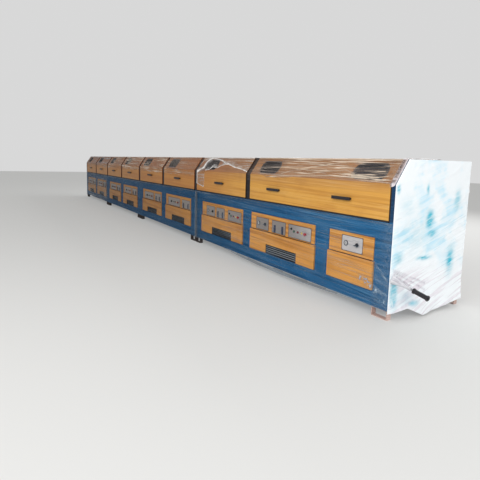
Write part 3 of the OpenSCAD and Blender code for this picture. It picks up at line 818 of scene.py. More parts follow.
def makeTicks(radius, length, width, count, sweep, out):
    tick = startBox((-width / 2, -out, radius), (width / 2, 0, radius + length))
    pickFaces(tick, isFront)
    bpy.ops.mesh.select_all(action="SELECT")
    bpy.ops.transform.rotate(value=math.radians(sweep / 2), orient_axis="Y", center_override=(0, 0, 0))
    bpy.ops.mesh.spin(steps=count - 1, dupli=True, angle=math.radians(-sweep), center=(0, 0, 0),
                      axis=(0, -1, 0))
    leaveEdit()
    return bpy.context.object


def makeNeedle(radius, face, settings):
    half, out = settings["needleHalf"], settings["needleOut"]
    tip, tail = radius * settings["needleTip"], -radius * settings["needleTail"]
    needle = startBox((-half, -face - out, tail), (half, -face, tip))
    pickFaces(needle, lambda side: side.normal.z > 0.99)
    bpy.ops.transform.resize(value=(settings["tipShare"], 1, 1), center_override=(0, -face, tip))
    leaveEdit()
    needle.data.transform(Matrix.Rotation(math.radians(settings["needleAngle"]), 4, "Y"))
    return needle


def makeGauges(settings):
    boxes = solidBoxes("gauges")
    low, high = boxes[0]
    radius = (high.z - low.z) / 2
    places = seatsOf(boxes)
    bezel = startDisc(radius, settings["out"], settings["sides"])
    crownFront(bezel, -(settings["out"] - settings["dialOut"]), settings["rim"])
    bevelAll(bezel, settings["bevel"])
    rims = copyAt(bezel, places, "gaugeRims")
    dressPiece(rims, bezelGrey)
    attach(rims, "housing")
    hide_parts("gauges")
    dialRadius = radius - settings["rim"] * settings["dialGap"]
    dial = startDisc(dialRadius, settings["dialOut"] + settings["dialLip"], settings["sides"])
    crownFront(dial, *settings["dialCrown"])
    dials = copyAt(dial, places, "gaugeDials")
    dressPiece(dials, dialWhite)
    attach(dials, "housing")
    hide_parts("gauges")
    face = settings["dialOut"] + settings["faceOut"]
    ticks = makeTicks(radius * settings["tickFrom"], radius * settings["tickLong"], settings["tickWide"],
                      settings["ticks"], settings["sweep"], settings["tickOut"])
    ticks.data.transform(Matrix.Translation((0, -face, 0)))
    needle = makeNeedle(radius, face, settings)
    hub = startDisc(settings["hubRadius"], face + settings["hubOut"], settings["hubSides"])
    crownFront(hub, *settings["hubCrown"])
    marks = copyAt(joinPieces([needle, hub, ticks]), places, "gaugeMarks")
    dressPiece(marks, inkGrey)
    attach(marks, "housing")


scaleSettings = {
    "gap": 1.35,  # inner radius of the printed scale, by the knob's radius
    "length": 0.006,
    "width": 0.003,
    "fitsRadius": 0.024,  # the knob that the length and the width are for
    "out": 0.0004,
    "count": 9,
    "sweep": 230,
}


def makeScales(settings):
    pieces = []
    for radius, found in knobsBySize().items():
        share = radius / settings["fitsRadius"]
        model = makeTicks(radius * settings["gap"], settings["length"] * share, settings["width"] * share,
                          settings["count"], settings["sweep"], settings["out"])
        pieces.append(copyAt(model, [place for place, reach in found], "scale"))
    scales = joinPieces(pieces, "knobScales")
    dressPiece(scales, inkGrey)
    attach(scales, "housing")


screwSettings = {
    "radius": 0.0045,
    "sides": 16,
    "out": 0.0022,
    "crownIn": 0.35,
    "inset": 0.010,  # from the edges of the plate
}


def makePlateScrews(settings):
    half, inset = settings["out"] * 0.5, settings["inset"]
    head = startDisc(settings["radius"], half, settings["sides"])
    crownFront(head, half, settings["radius"] * settings["crownIn"])
    smoothBelow(50)
    places = []
    for low, high in solidBoxes("instrument_plates"):
        for x in (low.x + inset, high.x - inset):
            for z in (low.z + inset, high.z - inset):
                places.append(Vector((x, low.y, z)))
    screws = copyAt(head, places, "plateScrews")
    dressPiece(screws, hingeSteel)
    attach(screws, "housing")


borderSettings = {
    "width": 0.0055,
    "out": 0.0010,
    "beyond": 0.0020,
    "seat": 0.0004,  # how far it goes into the plate
    "recess": 0.0002,
}


def makePlateBorders(settings):
    borders = []
    spare = settings["beyond"]
    for low, high in solidBoxes("instrument_plates"):
        border = startBox((low.x - spare, low.y - settings["out"], low.z - spare),
                          (high.x + spare, low.y + settings["seat"], high.z + spare))
        crownFront(border, -(settings["out"] + settings["recess"]), settings["width"])
        borders.append(border)
    piece = joinPieces(borders, "plateBorders")
    dressPiece(piece, inkGrey)
    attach(piece, "housing")


breakerSettings = {
    "bodyOut": 0.008,
    "bevel": 0.0015,
    "frame": (0.003, 0.12),  # how far it stands out, and its width as a share of the body's
    "well": (0.002, 0.10),  # how deep it is, and the width of its slope
    "leverShare": (5, 10),  # half the lever goes so many times into the width and the height
    "leverReach": 0.9,
    "leverTaper": (0.8, 1, 0.6),
    "leverCrown": (0.1, 0.03),
    "leverTilt": 12,  # degrees
    "screwRadius": 0.003,
    "screwSides": 12,
    "screwOut": 0.0016,
    "screwCrown": (0.0006, 0.0008),
    "screwAt": 0.44,
}


def makeBreakers(settings):
    boxes = solidBoxes("breakers")
    low, high = boxes[0]
    width, height, reach = high.x - low.x, high.z - low.z, high.y - low.y
    out = settings["bodyOut"]
    body = startBox((-width / 2, -out, -height / 2), (width / 2, 0, height / 2))
    pickFaces(body, isFront)
    pushFront(settings["frame"][0], width * settings["frame"][1])
    pushFront(-settings["well"][0], width * settings["well"][1])
    bevelAll(body, settings["bevel"])
    wide, tall = width / settings["leverShare"][0], height / settings["leverShare"][1]
    lever = startBox((-wide, -reach * settings["leverReach"], -tall), (wide, -out, tall))
    pickFaces(lever, isFront)
    bpy.ops.transform.resize(value=settings["leverTaper"])
    pushFront(reach * settings["leverCrown"][0], width * settings["leverCrown"][1])
    bpy.ops.mesh.select_all(action="SELECT")
    bpy.ops.transform.rotate(value=math.radians(settings["leverTilt"]), orient_axis="X",
                             center_override=(0, -out, 0))
    bevelAll(lever, settings["bevel"])
    pieces = [body, lever]
    for side in (-1, 1):
        screw = startDisc(settings["screwRadius"], out + settings["screwOut"], settings["screwSides"])
        crownFront(screw, *settings["screwCrown"])
        screw.data.transform(Matrix.Translation((0, 0, side * height * settings["screwAt"])))
        pieces.append(screw)
    breakers = copyAt(joinPieces(pieces), seatsOf(boxes), "breakerSwitches")
    dressPiece(breakers, breakerGrey)
    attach(breakers, "housing")
    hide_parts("breakers")


makeKnobs(knobSettings)
makeButtons(buttonSettings)
makeStopButtons(stopSettings)
makeGauges(gaugeSettings)
makeScales(scaleSettings)
makePlateScrews(screwSettings)
makePlateBorders(borderSettings)
makeBreakers(breakerSettings)
print("stage: controls")

# Louvres in the notches of the lower panels

grilleSettings = {
    "border": 0.010,
    "backThick": 0.0015,
    "bevel": 0.001,
    "blades": 4,
    "bladeIn": 0.002,
    "bladeTall": 0.0068,
    "bladeThick": 0.0015,
    "bladeBevel": 0.0005,
    "rowRise": 0.4,  # of the lowest blade, by the gap between the blades
    "lip": 0.008,  # a blade's lower edge is folded back by this much
    "halfSpan": 0.3,  # solids whose middles lie nearer than this make one grille
}


def grilleBoxes(halfSpan):
    found = []
    for low, high in solidBoxes("vent_grilles"):
        middle = (low.x + high.x) / 2
        match = next((pair for pair in found if abs((pair[0].x + pair[1].x) / 2 - middle) < halfSpan), None)
        if match:
            match[0][:] = [min(a, b) for a, b in zip(match[0], low)]
            match[1][:] = [max(a, b) for a, b in zip(match[1], high)]
        else:
            found.append([low.copy(), high.copy()])
    return found


def makeBlade(half, settings):
    thick, front = settings["bladeThick"], settings["bladeIn"]
    blade = startBox((-half, front, 0), (half, front + thick, settings["bladeTall"]))
    pickFaces(blade, lambda face: face.normal.z < -0.99)
    pullFaces((0, 0, -thick))
    leaveEdit()
    pickFaces(blade, lambda face: face.normal.y > 0.99 and face.center.z < 0)
    pullFaces((0, settings["lip"], 0))
    bevelAll(blade, settings["bladeBevel"], 1, 50)
    return blade


def makeGrilles(settings):
    boxes = grilleBoxes(settings["halfSpan"])
    low, high = boxes[0]
    width, depth, height = high.x - low.x, high.y - low.y, high.z - low.z
    border = startBox((-width / 2, 0, 0), (width / 2, depth, height))
    crownFront(border, -(depth - settings["backThick"]), settings["border"])
    bevelAll(border, settings["bevel"])
    gap = (height - 2 * settings["border"]) / settings["blades"]
    blade = makeBlade(width / 2 - settings["border"], settings)
    rises = [settings["border"] + gap * (row + settings["rowRise"]) for row in range(settings["blades"])]
    stack = copyAt(blade, [Vector((0, 0, rise)) for rise in rises], "blades")
    places = [Vector(((a.x + b.x) / 2, a.y, a.z)) for a, b in boxes]
    for model, name, finish in ((border, "grilleBorders", grilleGrey), (stack, "grilleBlades", louvreSteel)):
        piece = copyAt(model, places, name)
        dressPiece(piece, finish)
        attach(piece, "housing")
        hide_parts("vent_grilles")


makeGrilles(grilleSettings)
print("stage: grilles")


# Stretch film: thin wrinkled sheets, clear between pale creases that are partly whiter folded film and partly
# painted highlights

filmSettings = {
    "roughness": 0.2,
    "relief": (0.3, 0.004),
    "greyTone": (112, 108, 112),
    "greyShare": 0.85,
    "shadeCover": 0.82,  # how much the dark shade covers
}

# for each film: tones of the clear film, its glaze, its furrows and its creases. Then how much the clear
# film, the glaze and the creases cover, how strong its fine lines are, and how closely they lie.
filmLooks = {
    "slopeFilm": ((146, 120, 102), (224, 182, 142), (106, 72, 48), (248, 228, 204),
                  (0.04, 0.40, 0.86), 1.15, 38),
    "cheekFilm": ((128, 98, 78), (186, 156, 134), (72, 62, 60), (242, 236, 242),
                  (0.84, 0.90, 1.0), 0.7, 22),
    "frontFilm": ((112, 134, 152), (142, 162, 178), (66, 66, 70), (186, 208, 226),
                  (0.0, 0.03, 0.80), 0.34, 58),
    "farFrontFilm": ((110, 130, 148), (136, 152, 166), (60, 62, 68), (180, 196, 208),
                     (0.0, 0.02, 0.70), 0.16, 44),
    "milkyFilm": ((118, 128, 136), (152, 160, 166), (74, 82, 90), (226, 228, 232),
                  (0.06, 0.20, 0.70), 0.7, 24),
    "bunchFilm": ((150, 122, 100), (206, 176, 150), (92, 68, 54), (254, 250, 246),
                  (0.06, 0.34, 1.0), 0.7, 30),
    "rodFilm": ((216, 214, 222), (232, 230, 236), (150, 146, 160), (252, 252, 254),
                (0.55, 0.74, 0.95), 0.6, 14),
}


def addCrinkle(tree):
    crinkle = addGroup(tree, filmCrinkle)
    tree.links.new(addAttribute(tree, "crinkle"), crinkle["Line"].node.inputs["Amount"])
    return crinkle["Line"], crinkle["Height"]


def filmMaterial(name, clear, glaze, deep, white, covers, strength, across):
    look = filmSettings
    clearCover, glazeCover, whiteCover = covers
    material, tree, shader = newMaterial(name, look["roughness"])
    line, relief = addCrinkle(tree)

    def addLines(along, share, scale, shows, turn, out=(0.0, 1.0)):
        return addPattern(tree, (along, across * share, across * share), scale, 3, shows, turn, out)

    patches = addPattern(tree, (0.8, 1.4, 1.4), 1.2, 2, (0.36, 0.56), out=(0.25, 1))
    thin = addLines(0.5, 1, 1.6, (0.53, 0.63), 0.02)
    slanted = addLines(0.9, 0.7, 1.5, (0.57, 0.67), -0.05)
    streak = addMath(tree, "MULTIPLY", addMath(tree, "MAXIMUM", thin, slanted), patches)
    streak = addMath(tree, "MULTIPLY", streak, strength, True)
    soft = addLines(0.4, 0.35, 1.4, (0.44, 0.70), 0.01)
    furrow = addLines(0.5, 0.6, 1.7, (0.56, 0.70), -0.02, (0, 0.8))
    lines = addMath(tree, "MAXIMUM", line, streak)
    # painted highlights: the crease mark and the fine lines whiten the film, partly as whiter folded film
    glint = addMath(tree, "MAXIMUM", addAttribute(tree, "crease"), lines, True)
    # painted shade: the furrows and the tint mark darken the film towards its deep tone
    shade = addAttribute(tree, "tint")
    tint = addMix(tree, addMath(tree, "MAXIMUM", furrow, shade, True), addMix(tree, soft, clear, glaze), deep)
    greyed = addMath(tree, "MULTIPLY", addAttribute(tree, "grey"), look["greyShare"])
    tint = addMix(tree, greyed, tint, look["greyTone"])
    tree.links.new(addMix(tree, glint, tint, white), shader.inputs["Base Color"])
    thick = addRange(tree, addMath(tree, "MAXIMUM", soft, furrow), 0, 1, clearCover, glazeCover)
    base = addMath(tree, "MAXIMUM", thick, addMath(tree, "MULTIPLY", shade, look["shadeCover"]))
    rest = addMath(tree, "MULTIPLY", addMath(tree, "SUBTRACT", whiteCover, base), glint)
    tree.links.new(addMath(tree, "ADD", base, rest, True), shader.inputs["Alpha"])
    height = addMath(tree, "ADD", glint, addMath(tree, "ADD", soft, relief))
    addBump(tree, height, *look["relief"], shader)
    return material


# The film on the ends is opaque, and its pulled lines rise towards the rear
endLook = {
    "roughness": 0.24,
    "white": (242, 247, 250),
    "pale": (188, 229, 246),
    "litBlue": (0, 180, 206),
    "lilac": (228, 220, 228),
    "lilacFrom": (0.40, 0.58),  # height where it is full, and where it has gone
    "grey": (158, 150, 166),
    "linesFade": (0.94, 1.10, 1, 0.18),  # the lines are weaker above the table
    "slant": 18,  # degrees
    "gloss": (0.32, 0.18),
    "relief": (0.25, 0.004),
}


def wrapMaterial(name, look):
    material, tree, shader = newMaterial(name, look["roughness"])
    line, relief = addCrinkle(tree)
    slant = (math.radians(look["slant"]), 0, 0)
    field = addPattern(tree, (1, 1, 1), 2.6, 3, (0.44, 0.62))
    band = addRange(tree, addPlace(tree, "Z"), *look["linesFade"])
    lines = addPattern(tree, (1, 0.7, 13), 2.0, 2, (0.44, 0.62), slant)
    pulled = addMath(tree, "MULTIPLY", lines, band)
    low = addRange(tree, addPlace(tree, "Z"), *look["lilacFrom"], 1, 0)
    cloud = addMath(tree, "MULTIPLY", field, addRange(tree, lines, 0, 1, 0.45, 1))
    washed = addMath(tree, "MULTIPLY", cloud, addMath(tree, "SUBTRACT", 1, low))
    calm = addMix(tree, addMath(tree, "MULTIPLY", washed, 0.9, True), look["white"], look["pale"])
    dusk = addMath(tree, "MULTIPLY", low, addMath(tree, "MULTIPLY", pulled, 0.8))
    dusky = addMix(tree, dusk, calm, look["lilac"])
    torn = addPattern(tree, (1, 1.6, 8), 5, 4, (0.34, 0.54), slant, (0.5, 1))
    # painted light: where the blue shows through the film it is painted a bright cyan
    litBlue = addMath(tree, "MULTIPLY", addAttribute(tree, "tint"), torn, True)
    # painted shade: the pleats turn grey in their folds; under the lever the grey is thicker film
    folded = addMix(tree, addMath(tree, "MULTIPLY", addAttribute(tree, "grey"), 0.8), dusky, look["grey"])
    withLitBlue = addMix(tree, litBlue, folded, look["litBlue"])
    glint = addMath(tree, "MAXIMUM", addAttribute(tree, "crease"), line, True)
    tree.links.new(addMix(tree, glint, withLitBlue, look["white"]), shader.inputs["Base Color"])
    tree.links.new(addRange(tree, pulled, 0, 1, *look["gloss"]), shader.inputs["Roughness"])
    height = addMath(tree, "ADD", addMath(tree, "ADD", glint, pulled), relief)
    addBump(tree, height, *look["relief"], shader)
    return material


films = {name: filmMaterial(name, *look) for name, look in filmLooks.items()}
films["endFilm"] = wrapMaterial("endFilm", endLook)


def noiseAt(x, y, z):
    return noise.noise(Vector((x, y, z)))


def clamped(value):
    return min(1.0, max(0.0, value))


def ridged(x, y, z, sharp=3.2):
    return max(0.0, 1 - abs(noiseAt(x, y, z)) * sharp) ** 3


def spindle(x, y, z, low, high):
    return clamped((noiseAt(x, y, z) - low) / (high - low))


def bell(value, middle, width):
    return math.exp(-((value - middle) / width) ** 2)


def makeSheet(name, width, length, step, place, film, body):
    clearSelection()
    across, along = max(2, round(width / step)), max(2, round(length / step))
    bpy.ops.mesh.primitive_grid_add(x_subdivisions=across, y_subdivisions=along, size=2)
    piece = bpy.context.object
    piece.name = piece.data.name = name
    marks = {"crease": [], "crinkle": [], "tint": [], "grey": []}
    for vertex in piece.data.vertices:
        spot, *values = place((vertex.co.x + 1) / 2, (vertex.co.y + 1) / 2)
        vertex.co = spot
        for label, value in zip(marks, values + [0.0, 0.0, 0.0]):
            marks[label].append(clamped(value))
    for label, values in marks.items():
        piece.data.attributes.new(label, "FLOAT", "POINT").data.foreach_set("value", values)
    bpy.ops.object.shade_smooth()
    piece.data.materials.append(films[film])
    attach(piece, body)


slopeFilmSettings = {
    "rearIn": 0.80,  # how far back over the flat top it reaches
    "stand": 0.003,
    "wrinkle": 0.007,
    "step": 0.009,
    "farStep": 0.016,
    "topStep": 3.0,  # steps on the flat top are this much longer
    "foldZone": 0.03,  # from the ridge to where they start
    "over": 0.003,  # beyond the ends of the guard
    # lower edge of the film: metres from the near end, and along the fold line up from the eave
    "edges": {
        1: [(-2.66, 0.03), (-2.51, 0.04), (-2.21, -0.027), (-1.73, -0.005), (-1.45, 0.019), (-0.59, 0.012),
            (-0.07, 0.0)],
        2: [(-4.57, -0.24), (-4.30, -0.29), (-4.26, -0.28), (-4.24, 0.011), (-4.09, 0.027), (-4.01, 0.086),
            (-3.81, 0.070), (-3.71, 0.128), (-3.60, 0.152), (-3.49, 0.155), (-3.23, 0.099), (-3.02, 0.077),
            (-2.86, 0.043), (-2.79, 0.03)],
    },
    "edgeWave": 0.006,
    "farEdge": -0.10,  # the lower edge on the other guards, its wave and its lowest place
    "farWave": 0.03,
    "farLowest": -0.11,
    # what differs from guard to guard
    "hemWhite": {1: 0.35, 2: 0.95, "other": 0.14},
    "hemHalf": {2: 0.016, "other": 0.008},
    "foldPale": {1: 0.3, "other": 0.1},
    "crinkleWhite": {2: 1.2, "other": 0.7},
    "film": {2: "bunchFilm", 7: "milkyFilm", 8: "milkyFilm", "other": "slopeFilm"},
    "greyPanes": 6,  # the film is greyer over the windows of this many guards
    # long folds of guard 1, whitened partly as painted highlights: points along each, and how white it is
    "folds": [([(-1.91, 0.043), (-1.58, 0.129), (-1.11, 0.202), (-0.75, 0.264), (-0.33, 0.280)], 1.0),
              ([(-2.60, 0.125), (-2.00, 0.147), (-1.61, 0.134)], 0.8),
              ([(-1.98, 0.158), (-1.41, 0.165), (-1.07, 0.138)], 0.6),
              ([(-1.13, 0.107), (-0.76, 0.140), (-0.61, 0.103)], 0.7),
              ([(-0.80, 0.050), (-0.70, 0.082)], 0.8),
              ([(-2.04, 0.255), (-1.41, 0.272)], 0.7),
              ([(-2.60, 0.035), (-1.89, 0.013), (-1.31, 0.033), (-0.89, 0.063), (-0.60, 0.044),
                (-0.42, 0.038), (-0.14, 0.086)], 0.9)],
    "foldHalf": 0.009,
    "pane": (-0.63, -0.25, 0.066),  # painted highlight of a fold along the lower edge of the near window: ends and run
    "paneHalf": 0.010,
    # the knot of film on guard 2: points along each stroke, its half width, and how white it is
    "strokes": [([(-4.54, -0.024), (-4.46, 0.014), (-4.34, 0.076), (-4.35, 0.204), (-4.24, 0.275)],
                 0.034, 1.15),
                ([(-4.24, 0.275), (-4.03, 0.266), (-3.80, 0.235), (-3.56, 0.153)], 0.014, 0.95),
                ([(-3.80, 0.235), (-3.52, 0.175), (-3.16, 0.092), (-2.86, 0.043)], 0.011, 0.9),
                ([(-4.56, 0.129), (-4.51, 0.226), (-4.30, 0.280)], 0.012, 0.85)],
    "hangsPast": -4.22,  # past this the film of guard 2 hangs over its front
    "hangEdge": -4.555,
}


# Place and outward direction on a guard's outline, by the run up from its eave
def profileAt(run):
    if run < 0:
        return Vector((0, 0, eaveZ + run)), Vector((0, -1, 0))
    if run < slopeRun:
        share = run / slopeRun
        out = Vector((0, -(topZ - eaveZ), ridgeIn)).normalized()
        return Vector((0, ridgeIn * share, eaveZ + (topZ - eaveZ) * share)), out
    return Vector((0, ridgeIn + run - slopeRun, topZ)), Vector((0, 0, 1))


def heightOn(points, x):
    if x <= points[0][0]:
        return points[0][1]
    for (ax, ah), (bx, bh) in zip(points, points[1:]):
        if x <= bx:
            return ah + (bh - ah) * (x - ax) / (bx - ax)
    return points[-1][1]


def awayFrom(points, x, run):
    best = math.inf
    spot = Vector((x, run))
    for first, second in zip(points, points[1:]):
        start, along = Vector(first), Vector(second) - Vector(first)
        share = clamped((spot - start).dot(along) / along.length_squared)
        best = min(best, (spot - start - along * share).length)
    return best


def foldMarks(x, back, run, settings):
    crinkle = 0.45 * bell(back, -0.10, 0.10) + 0.35 * bell(back, -0.62, 0.07) * bell(run, 0.08, 0.08)
    first, last, lift = settings["pane"]
    bright = bell(run, lift, settings["paneHalf"]) if first < back < last else 0.0
    for points, strength in settings["folds"]:
        if points[0][0] - 0.05 < back < points[-1][0] + 0.05:
            worn = 0.75 + 0.5 * noiseAt(x * 4, points[0][1] * 50, 2.2)
            bright = max(bright, strength * worn * bell(awayFrom(points, back, run), 0, settings["foldHalf"]))
    return crinkle, bright


def knotMarks(x, back, run, edge, settings):
    bright = 0.0
    for points, spread, strength in settings["strokes"]:
        bright = max(bright, strength * bell(awayFrom(points, back, run), 0, spread))
    bright *= 0.9 + 0.5 * noiseAt(x * 12, run * 12, 3.1)
    away = awayFrom(settings["strokes"][0][0], back, run)
    crinkle = max(0.75 * bell(away, 0, 0.09), 0.7 * bell(run, edge + 0.03, 0.05) * (back < -3.0))
    # painted shade in the gaps beside the white stroke
    shade = 0.6 * bell(away, 0.05, 0.02)
    if back < settings["hangsPast"] and run < 0.0:
        bright = max(bright * (run > -0.03), 0.9 * bell(back, settings["hangEdge"], 0.02))
        crinkle, shade = 0.12, 0.22
    return crinkle, bright, shade


def makeSlopeFilm(number, settings):
    low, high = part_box(f"guard_{number}")
    top = slopeRun + settings["rearIn"] - ridgeIn
    width = high.x - low.x + 2 * settings["over"]
    edges = settings["edges"].get(number)
    panes = solidBoxes(f"guard_{number}_screens") if number <= settings["greyPanes"] else []
    foldZone = slopeRun + settings["foldZone"]
    lowest = min(height for x, height in edges) if edges else settings["farLowest"]
    length = foldZone - lowest + (top - foldZone) / settings["topStep"]
    foldShare = (foldZone - lowest) / length
    varied = ("hemWhite", "hemHalf", "foldPale", "crinkleWhite", "film")
    own = {label: settings[label].get(number, settings[label]["other"]) for label in varied}

    def place(u, v):
        x = low.x - settings["over"] + width * u
        back = x - nearX
        ripple = noiseAt(back * 9, number * 4.1, 0.5)
        if edges:
            edge = heightOn(edges, back) + settings["edgeWave"] * ripple
        else:
            edge = settings["farEdge"] + settings["farWave"] * ripple
        if v < foldShare:
            run = edge + (foldZone - edge) * v / foldShare
        else:
            run = foldZone + (top - foldZone) * (v - foldShare) / (1 - foldShare)
        spot, out = profileAt(run)
        drift = 0.05 * noiseAt(x * 0.6, number, 2.5)
        fold = spindle(x * 0.5, (run + drift) * 40, number * 3.3, 0.18, 0.42)
        small = ridged(x * 9, run * 15, number * 1.7)
        crinkle = bright = shade = 0.0
        if number == 1:
            crinkle, bright = foldMarks(x, back, run, settings)
        if number == 2:
            crinkle, bright, shade = knotMarks(x, back, run, edge, settings)
        if number == 3:
            crinkle = 0.35 * bell(u, 0.3, 0.14) * bell(run, 0.2, 0.08)
        knot = 0.5 + 0.5 * noiseAt(x * 13, run * 6, number)
        hem = own["hemWhite"] * bell(run, edge + 0.005, own["hemHalf"]) * (0.45 + knot)
        ridge = bell(run, slopeRun - 0.004, 0.013) * (0.75 + 0.25 * knot)
        # painted shade: a dark line just below the ridge
        shade = max(shade, 0.6 * bell(run, slopeRun - 0.034, 0.010) * knot)
        inside = min(1.0, (run - edge) / 0.03) * min(1.0, (top - run) / 0.03)
        rise = fold * 0.4 + 0.8 * crinkle * small + 0.6 * max(hem, bright)
        lift = settings["stand"] + settings["wrinkle"] * rise * min(1.0, inside + 0.3)
        pale = own["foldPale"] * fold * (0.4 + knot)
        grey = 1.0 * any(a.x < x < b.x and a.z < spot.z < b.z for a, b in panes)
        crinkled = crinkle * small * own["crinkleWhite"]
        # painted highlights: hem, ridge line and folds whiten the film, partly as whiter folded film
        crease = max(bright, hem, ridge, pale * (1 - 0.6 * grey), crinkled)
        return Vector((x, frontY, 0)) + spot + out * lift, crease, crinkle, shade * (1 - crease), grey

    step = settings["step"] if number < 3 else settings["farStep"]
    guard = f"guard_{number}"
    makeSheet(f"slopeFilm{number}", width, length, step, place, own["film"], guard)


for n in range(1, guardCount + 1):
    makeSlopeFilm(n, slopeFilmSettings)

# Rolled strips of film along the sloping edges of the ends

cheekSettings = {
    "inward": 0.074,
    "outer": -0.010,  # its outer edge stops short of the end face
    "below": 0.035,
    "rearIn": 0.75,
    "stand": 0.004,
    "wrinkle": 0.007,
    "step": 0.007,
    "crinkle": 0.4,
}


def makeCheekFilm(name, edgeX, side, settings):
    top = slopeRun + settings["rearIn"] - ridgeIn
    width = settings["inward"] + settings["outer"]

    def place(u, v):
        x = edgeX - side * (settings["inward"] - width * u)
        ripple = noiseAt(x * 30, side, 0.5)
        edge = -settings["below"] + 0.012 * ripple + 0.03 * u
        run = edge + (top - edge) * v
        x += side * 0.004 * u * noiseAt(run * 22, 1.3, side)
        spot, out = profileAt(run)
        small = ridged(x * 16, run * 16, 6.1 + side)
        ridge = 0.8 * bell(run, slopeRun, 0.012)
        rim = 0.5 * bell(u, 0.0, 0.12) * (0.5 + 0.5 * noiseAt(1, run * 18, side))
        lift = settings["stand"] + settings["wrinkle"] * small * min(1.0, 0.2 + 4 * u * (1 - u))
        rolled = 0.9 * bell(u, 0.95, 0.30) * (0.85 + 0.5 * noiseAt(4, run * 24, side))
        knot = 0.9 * bell(run, -0.01, 0.035) * (u > 0.3)
        dark = 0.9 * bell(u, 0.36, 0.2) * (noiseAt(u * 3, run * 36, side) > -0.05)
        # partly painted highlights: ridge, rim, rolled edge and knot whiten the film
        crease = max(ridge, rim, rolled, knot, 0.35 * small)
        return Vector((x, frontY, 0)) + spot + out * lift, crease, settings["crinkle"], dark

    length = top + settings["below"]
    makeSheet(name, width, length, settings["step"], place, "cheekFilm", "housing")


makeCheekFilm("nearCheekFilm", nearX, 1, cheekSettings)
makeCheekFilm("farCheekFilm", farX, -1, cheekSettings)
print("stage: slope film")

frontFilmSettings = {
    "stand": 0.017,
    "wrinkle": 0.006,
    "topGap": 0.004,
    "footGap": 0.004,
    "footWave": 0.006,
    "jointGap": 0.01,  # from the joints between the sections
    "step": 0.012,
    "farStep": 0.030,
    "tentRadius": 0.05,  # how far the film slopes down round a control
    "tentTop": 0.02,
    "tentReach": 0.15,
    "sag": 0.060,
    "sagSpan": (0.35, 3.2),  # start from the near end, and length
    # crinkles by the near corner: from the near end, height and size
    "sparkles": [(0.36, 0.365, 0.03), (0.29, 0.35, 0.035), (0.23, 0.32, 0.03), (0.16, 0.28, 0.03),
                 (0.04, 0.20, 0.03)],
    "line": (0.93, 0.84),  # upright fold: from the near end, and its upper end
    # a second layer of film by the near corner: width, soft edge, height, and the corner cut off it
    "overlap": (0.24, 0.09, 0.60, 0.21),
    # how white the seams and the hems are on the first section, and on the others
    "seamWhite": (0.6, 0.45),
    "hemWhite": (0.34, 0.15),
}
controls = [axisOf(low, high)[0] + Vector((0, low.y - high.y, 0)) for low, high in solidBoxes("switch_knobs")]
controls += [Vector(((a.x + b.x) / 2, a.y, (a.z + b.z) / 2)) for a, b in solidBoxes("stop_buttons")]


def nearCornerMarks(x, z, back, crease, settings):
    crinkle = 0.0
    for spotBack, spotZ, size in settings["sparkles"]:
        away = (back - spotBack) ** 2 + (z - spotZ) ** 2
        crinkle = max(crinkle, 1.2 * math.exp(-away / size ** 2))
    lineBack, lineTop = settings["line"]
    line = bell(back, lineBack + 0.01 * noiseAt(0, z * 9, 1), 0.011)
    crease = max(crease, 0.32 * line * (0.5 + 0.5 * noiseAt(3, z * 20, 1)) * (z < lineTop))
    wide, soft, tall, cut = settings["overlap"]
    overlap = tall - 0.9 * max(0.0, cut - back)
    if back < wide and z < overlap:
        inward = min(1.0, (wide - back) / soft)
        layered = 0.12 + 0.5 * ridged(x * 2, (z - 0.35 * back) * 30, 5.5, 2.4)
        crease = max(crease, inward * (layered + 0.4 * bell(z, overlap, 0.02)))
    speck = noiseAt(x * 42, z * 42, 9.1)
    if speck > 0.16:
        crease = max(crease, 1.6 * crinkle * min(1.0, (speck - 0.16) * 7))
    return max(crease, 0.32 * bell(back, 0.0, 0.13) * (0.8 + speck)), crinkle


